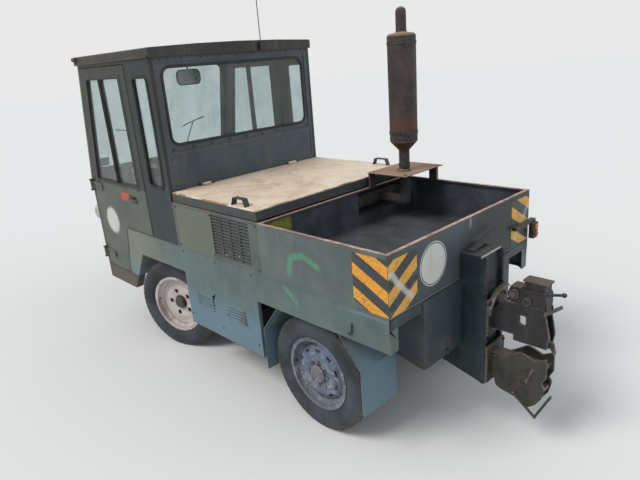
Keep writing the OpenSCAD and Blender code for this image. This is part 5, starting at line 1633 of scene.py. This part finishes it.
class TRACTOR_OT_lamps(bpy.types.Operator):
    """Headlamps, tail lamp, marker lamps and antenna"""

    bl_idname = "tractor.lamps"
    bl_label = "Lamps"

    def execute(self, context):
        ahead, astern = Vector((1, 0, 0)), Vector((-1, 0, 0))
        shell = [(0, 0), (70, 0), (81, 45), (85, 58), (85, 72), (77, 74), (75, 68), (74, 56), (0, 52)]
        lens = [(0, 54), (74, 57), (76, 68), (74, 73), (66, 77), (50, 80.5), (26, 83.5), (0, 85)]
        for word, side in SIDES:
            place = turned(ahead, at(FRONT, side * 600, 940))
            turned_piece("headlamp_shell_" + word, shell, place, 64, finish("chrome"), False,
                         ("headlamps",), 28)
            turned_piece("headlamp_lens_" + word, lens, place, 64, finish("clear_lens"), False,
                         ("headlamps",), 28)
        skin("tail_lamp", "lamp_box", bevel=3.0)
        domes = (
            ("tail_lens_1", "amber_lens", astern, (-49, -692.5, 968), 19),
            ("tail_lens_2", "red_lens", astern, (-49, -692.5, 923), 19),
            ("marker_lens_left", "amber_lens", ahead, (2937, 693, 2157), 14),
            ("marker_lens_right", "amber_lens", ahead, (2937, -693, 2157), 14),
        )
        for name, finish_name, facing, spot, radius in domes:
            rise = radius * 0.42
            dome = [(radius * math.cos(a), 1 + rise * math.sin(a)) for a in (0, 0.3, 0.6, 0.9, 1.2, 1.4)]
            dome = [(0, 0)] + dome + [(0, 1 + rise)]
            place = turned(facing, at(*spot))
            turned_piece(name, dome, place, 40, finish(finish_name), angle=50)
        form = bmesh.new()
        # Out from the body side as it goes down and forward
        bend = ((235, -1, 800), (234, 6, 785), (234, 8, 752), (246, 8, 736), (262, 8, 740))
        add_tube(form, [at(x, HALF + out, z) for x, out, z in bend], 4)
        from_form("side_hook", form, finish("handle"), "chassis", angle=50)
        skin("antenna", "plastic", bevel=0, spacing=0)
        return {"FINISHED"}


def wheel_place(node):
    """Place of a wheel: its middle, local X level and ahead, and local Z outwards along its axle."""
    side = 1 if node.endswith("left") else -1
    low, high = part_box(node)
    joint = next(j for j in frame["joints"] if j["name"] == node.replace("tyre_", "wheel_"))
    out = Vector(joint["axis"]).normalized() * side
    ahead = out.cross(Vector((0, 0, 1))) * side
    return Matrix.Translation((low + high) / 2) @ Matrix((ahead, out.cross(ahead), out)).transposed().to_4x4()


class TRACTOR_OT_tyres(bpy.types.Operator):
    """Tyres with walls, shoulders and tread blocks"""

    bl_idname = "tractor.tyres"
    bl_label = "Tyres"

    def execute(self, context):
        # Half of the section, from the bead outwards: radius and distance from the middle plane
        wall = [(204, 40), (204, 50), (212, 52.5), (221, 51.5), (226, 55), (232, 61), (243, 66.5),
                (246, 68.5), (249, 68.6), (252, 69), (266, 72.6), (280, 74.4), (284, 74.8), (287, 74.5),
                (291, 73.4), (303, 72.4), (308, 71.2), (318, 67.6), (326, 63.6), (332, 59.6), (336, 54),
                (338, 46), (338.6, 36)]
        grooves = [(333, 34.5), (333, 31.5), (338.8, 30), (338.9, 14), (333, 12.5), (333, 9.5), (339, 8)]
        half = wall + grooves
        profile = half + [(r, -w) for r, w in half[::-1]]
        # Rows of blocks: across the tread, and turned by a share of a block
        rows = [(-46, 0.0), (-22, 0.5), (0, 0.0), (22, 0.5), (46, 0.0)]
        count = sizes().tread_blocks
        values = {"Blocks": count, "Tyre radius": mm(340.5), "Block length": mm(33), "Block width": mm(17),
                  "Block height": mm(7)}
        shoulder, tread_depth = mm(300), mm(38)
        for name in WHEELS:
            node = "tyre_" + name
            place = wheel_place(node)
            form = bmesh.new()
            add_lathe(form, profile, Matrix.Identity(4), 96)
            layer = form.verts.layers.float.new("tread")
            for vert in form.verts:
                reach = math.hypot(vert.co.x, vert.co.y)
                vert[layer] = max(0.0, min(1.0, (reach - shoulder) / tread_depth))
            form.transform(place)
            from_form(node + "_body", form, finish("rubber"), body_of(node), (node,), angle=30)
            mesh = bpy.data.meshes.new(node + "_tread")
            mesh.from_pydata([(0, mm(y), 0) for y, _ in rows], [], [])
            store(mesh, "twist", [share * 2 * math.pi / count for _, share in rows])
            upright = place @ Matrix.Rotation(math.radians(90), 4, "X")
            grown(node + "_tread", tread_tree(), mesh, values, finish("rubber"), body_of(node),
                  place=upright, tread=1.0)
        return {"FINISHED"}


class TRACTOR_OT_rims(bpy.types.Operator):
    """Wheel rims with their nuts and valves"""

    bl_idname = "tractor.rims"
    bl_label = "Rims"

    def execute(self, context):
        stem = [(193, -6, 26), (190, -6, 40), (186, -4, 56)]
        for name in WHEELS:
            front = name.startswith("front")
            rim = skin("rim_" + name, "front_rim" if front else "rear_rim", bevel=0.8, spacing=60)
            body = body_of("tyre_" + name)
            place = wheel_place("tyre_" + name)
            inverse = place.inverted()
            local = [inverse @ vert.co for vert in rim.data.vertices]
            store(rim.data, "reach", [math.hypot(spot.x, spot.y) for spot in local])
            store(rim.data, "deep", [spot.z for spot in local])
            outward = place.to_3x3() @ Vector((0, 0, 1))
            # Nuts: how many, on what radius, how far out, and their own radius and height
            count, reach, out, radius, tall = (5, 92, -11, 11, 16) if front else (8, 74, 43, 12, 9)
            spots = [(place @ Vector((mm(x), mm(y), mm(out))), outward) for x, y in circle(reach, count)]
            nuts = finish("handle" if front else "rear_rim")
            bolts("wheel_nuts_" + name, spots, nuts, body, radius, tall)
            form = bmesh.new()
            add_tube(form, [place @ Vector((mm(a), mm(b), mm(c))) for a, b, c in stem], 4)
            from_form("valve_" + name, form, finish("plastic"), body, angle=50)
        return {"FINISHED"}


def face_piece(name, outline, thickness, place, material, body, centre=(0, 0), scale=1.0, haze=0.0):
    """A thin closed plate with a "face" UV map, which counts its own two coordinates from a centre."""
    form = bmesh.new()
    add_prism(form, outline, thickness, Matrix.Identity(4))
    bmesh.ops.triangulate(form, faces=[f for f in form.faces if len(f.verts) > 4])
    uv = form.loops.layers.uv.new("face")
    fog = form.verts.layers.float.new("haze")
    for face in form.faces:
        for loop in face.loops:
            co = loop.vert.co
            loop[uv].uv = ((co.x - mm(centre[0])) * scale, (co.y - mm(centre[1])) * scale)
    for vert in form.verts:
        vert[fog] = haze
    form.transform(place)
    from_form(name, form, material, body)


class TRACTOR_OT_markings(bpy.types.Operator):
    """Warning stripes, blank round plates and blank stickers"""

    bl_idname = "tractor.markings"
    bl_label = "Markings"

    def execute(self, context):
        rear = Matrix.Translation(HOME) @ FACING_REAR
        mirrored = rear @ Matrix.Scale(-1, 4, (1, 0, 0))
        side_bars = [(3, 893), (105, 893), (211, 930), (211, 1176), (3, 1176)]
        rear_bars = [(-680, 891), (-464, 891), (-464, 1168), (-680, 1168)]
        reach = in_mm(sizes().disc_radius)
        disc_middle = (2824, 919)
        disc = circle(reach, 64, disc_middle)
        sticker = rounded(2455, 2585, 1122, 1182, 8, 2)
        sine, cosine = math.sin(SCREEN_TILT), math.cos(SCREEN_TILT)
        screen = Matrix(((0, -sine, cosine, 0), (1, 0, 0, 0), (0, cosine, sine, 0), (0, 0, 0, 1)))
        inside = Matrix.Translation(on_screen(0, 0)) @ screen @ Matrix.Translation((0, 0, -mm(10.4)))
        for word, side in SIDES:
            beside = Matrix.Translation(at(0, side * HALF, 0)) @ SIDEWAYS[side]
            door = "door_" + word
            behind, haze = (rear, 0.85) if side > 0 else (mirrored, 0.5)
            face_piece("side_stripes_" + word, side_bars, 0.8, beside, finish("stripes"), "chassis")
            face_piece("rear_stripes_" + word, rear_bars, 0.8, behind, finish("rear_stripes"), "chassis",
                       (-680, 0), haze=haze)
            face_piece("door_disc_" + word, disc, 1.2, beside, finish("disc"), door,
                       disc_middle, 1000 / reach)
            face_piece("door_sticker_" + word, sticker, 0.6, beside, finish("sticker"), door,
                       (2520, 1152))
            blank = rounded(side * 560 - 40, side * 560 + 40, 80, 150, 4, 2)
            face_piece("screen_sticker_" + word, blank, 0.6, inside, finish("blue_sticker"), "chassis")
        reach, disc_middle = 113, (-329, 1049)
        face_piece("rear_disc", circle(reach, 64, disc_middle), 1.2, rear, finish("disc"), "chassis",
                   disc_middle, 1000 / reach)
        return {"FINISHED"}


class TRACTOR_OT_fasteners(bpy.types.Operator):
    """Bolts and screws that show on the body"""

    bl_idname = "tractor.fasteners"
    bl_label = "Fasteners"

    def execute(self, context):
        # Each call ends with the radius and height of its heads in millimetres
        astern, up = Vector((-1, 0, 0)), Vector((0, 0, 1))
        spots = [(at(-20, y, z), astern) for y in (-232, 232) for z in (522, 582)]
        bolts("back_plate_bolts", spots, finish("steel"), "chassis", 8.0, 6.0)
        spots = [(at(-166, y, z), astern) for y in (-85, 75) for z in (612, 786, 332, 512)]
        spots += [(at(-150, y, z), astern) for y in (-91, 81) for z in (560, 840, 1000)]
        bolts("coupling_bolts", spots, finish("coupling"), "chassis", 8.0, 6.0)
        spots = []
        for _, side in SIDES:
            facing = Vector((0, side, 0))
            spots += [(at(x, side * HALF, z), facing) for x in (935, 1383, 1783) for z in (912, 1176)]
            spots += [(at(x, side * HALF, z), facing) for x in (1028, 1400, 1772) for z in (400, 862)]
        bolts("body_screws", spots, finish("handle"), "chassis", 4.5, 3.0)
        spots = [(at(BACK, y, z), astern) for y in range(-600, 601, 150) for z in (1538, 2100)]
        bolts("rear_wall_screws", spots, finish("handle"), "chassis", 4.5, 3.0)
        spots = [(at(x, y, STACK_PLATE + 5), up) for x in (622, 880) for y in (-640, -290)]
        flange = STACK_PLATE + 13
        for angle in (0.8, 2.9, 5.0):
            spots.append((at(STACK_X + 41 * math.cos(angle), STACK_Y + 41 * math.sin(angle), flange), up))
        bolts("exhaust_bolts", spots, finish("steel"), "chassis", 6.0, 5.0)
        for word, side in SIDES:
            facing = Vector((0, side, 0))
            spots = [(at(x, side * (HALF + 8), z), facing) for x in (2895, 2960, 3025) for z in (607, 1189)]
            bolts("hinge_bolts_" + word, spots, finish("handle"), "door_" + word, 5.0, 4.0)
        return {"FINISHED"}


class TRACTOR_PT_pieces(bpy.types.Panel):
    """Lists the pieces of the tractor"""

    bl_idname = "TRACTOR_PT_pieces"
    bl_label = "Cab tow tractor"
    bl_space_type = "VIEW_3D"
    bl_region_type = "UI"
    bl_category = "Tractor"

    def draw(self, context):
        for group in (context.scene.tractor_sizes, context.scene.tractor_colours):
            for key in group.bl_rna.properties.keys():
                if key not in ("rna_type", "name"):
                    self.layout.prop(group, key)
        for operator in PIECES:
            self.layout.operator(operator.bl_idname)


PIECES = (
    TRACTOR_OT_stage,
    TRACTOR_OT_chassis,
    TRACTOR_OT_lower_body,
    TRACTOR_OT_cab_shell,
    TRACTOR_OT_doors,
    TRACTOR_OT_glazing,
    TRACTOR_OT_wipers,
    TRACTOR_OT_seats,
    TRACTOR_OT_cab_fittings,
    TRACTOR_OT_engine_bay,
    TRACTOR_OT_bed,
    TRACTOR_OT_exhaust,
    TRACTOR_OT_couplings,
    TRACTOR_OT_lamps,
    TRACTOR_OT_tyres,
    TRACTOR_OT_rims,
    TRACTOR_OT_markings,
    TRACTOR_OT_fasteners,
)
CLASSES = (TractorSizes, TractorColours) + PIECES + (TRACTOR_PT_pieces,)


def register():
    for entry in CLASSES:
        bpy.utils.register_class(entry)
    bpy.types.Scene.tractor_sizes = bpy.props.PointerProperty(type=TractorSizes)
    bpy.types.Scene.tractor_colours = bpy.props.PointerProperty(type=TractorColours)


def unregister():
    del bpy.types.Scene.tractor_colours
    del bpy.types.Scene.tractor_sizes
    for entry in reversed(CLASSES):
        bpy.utils.unregister_class(entry)


def main():
    """Builds the stage and every piece in order."""
    register()
    for operator in PIECES:
        group, call = operator.bl_idname.split(".")
        getattr(getattr(bpy.ops, group), call)()


if __name__ == "__main__":
    main()
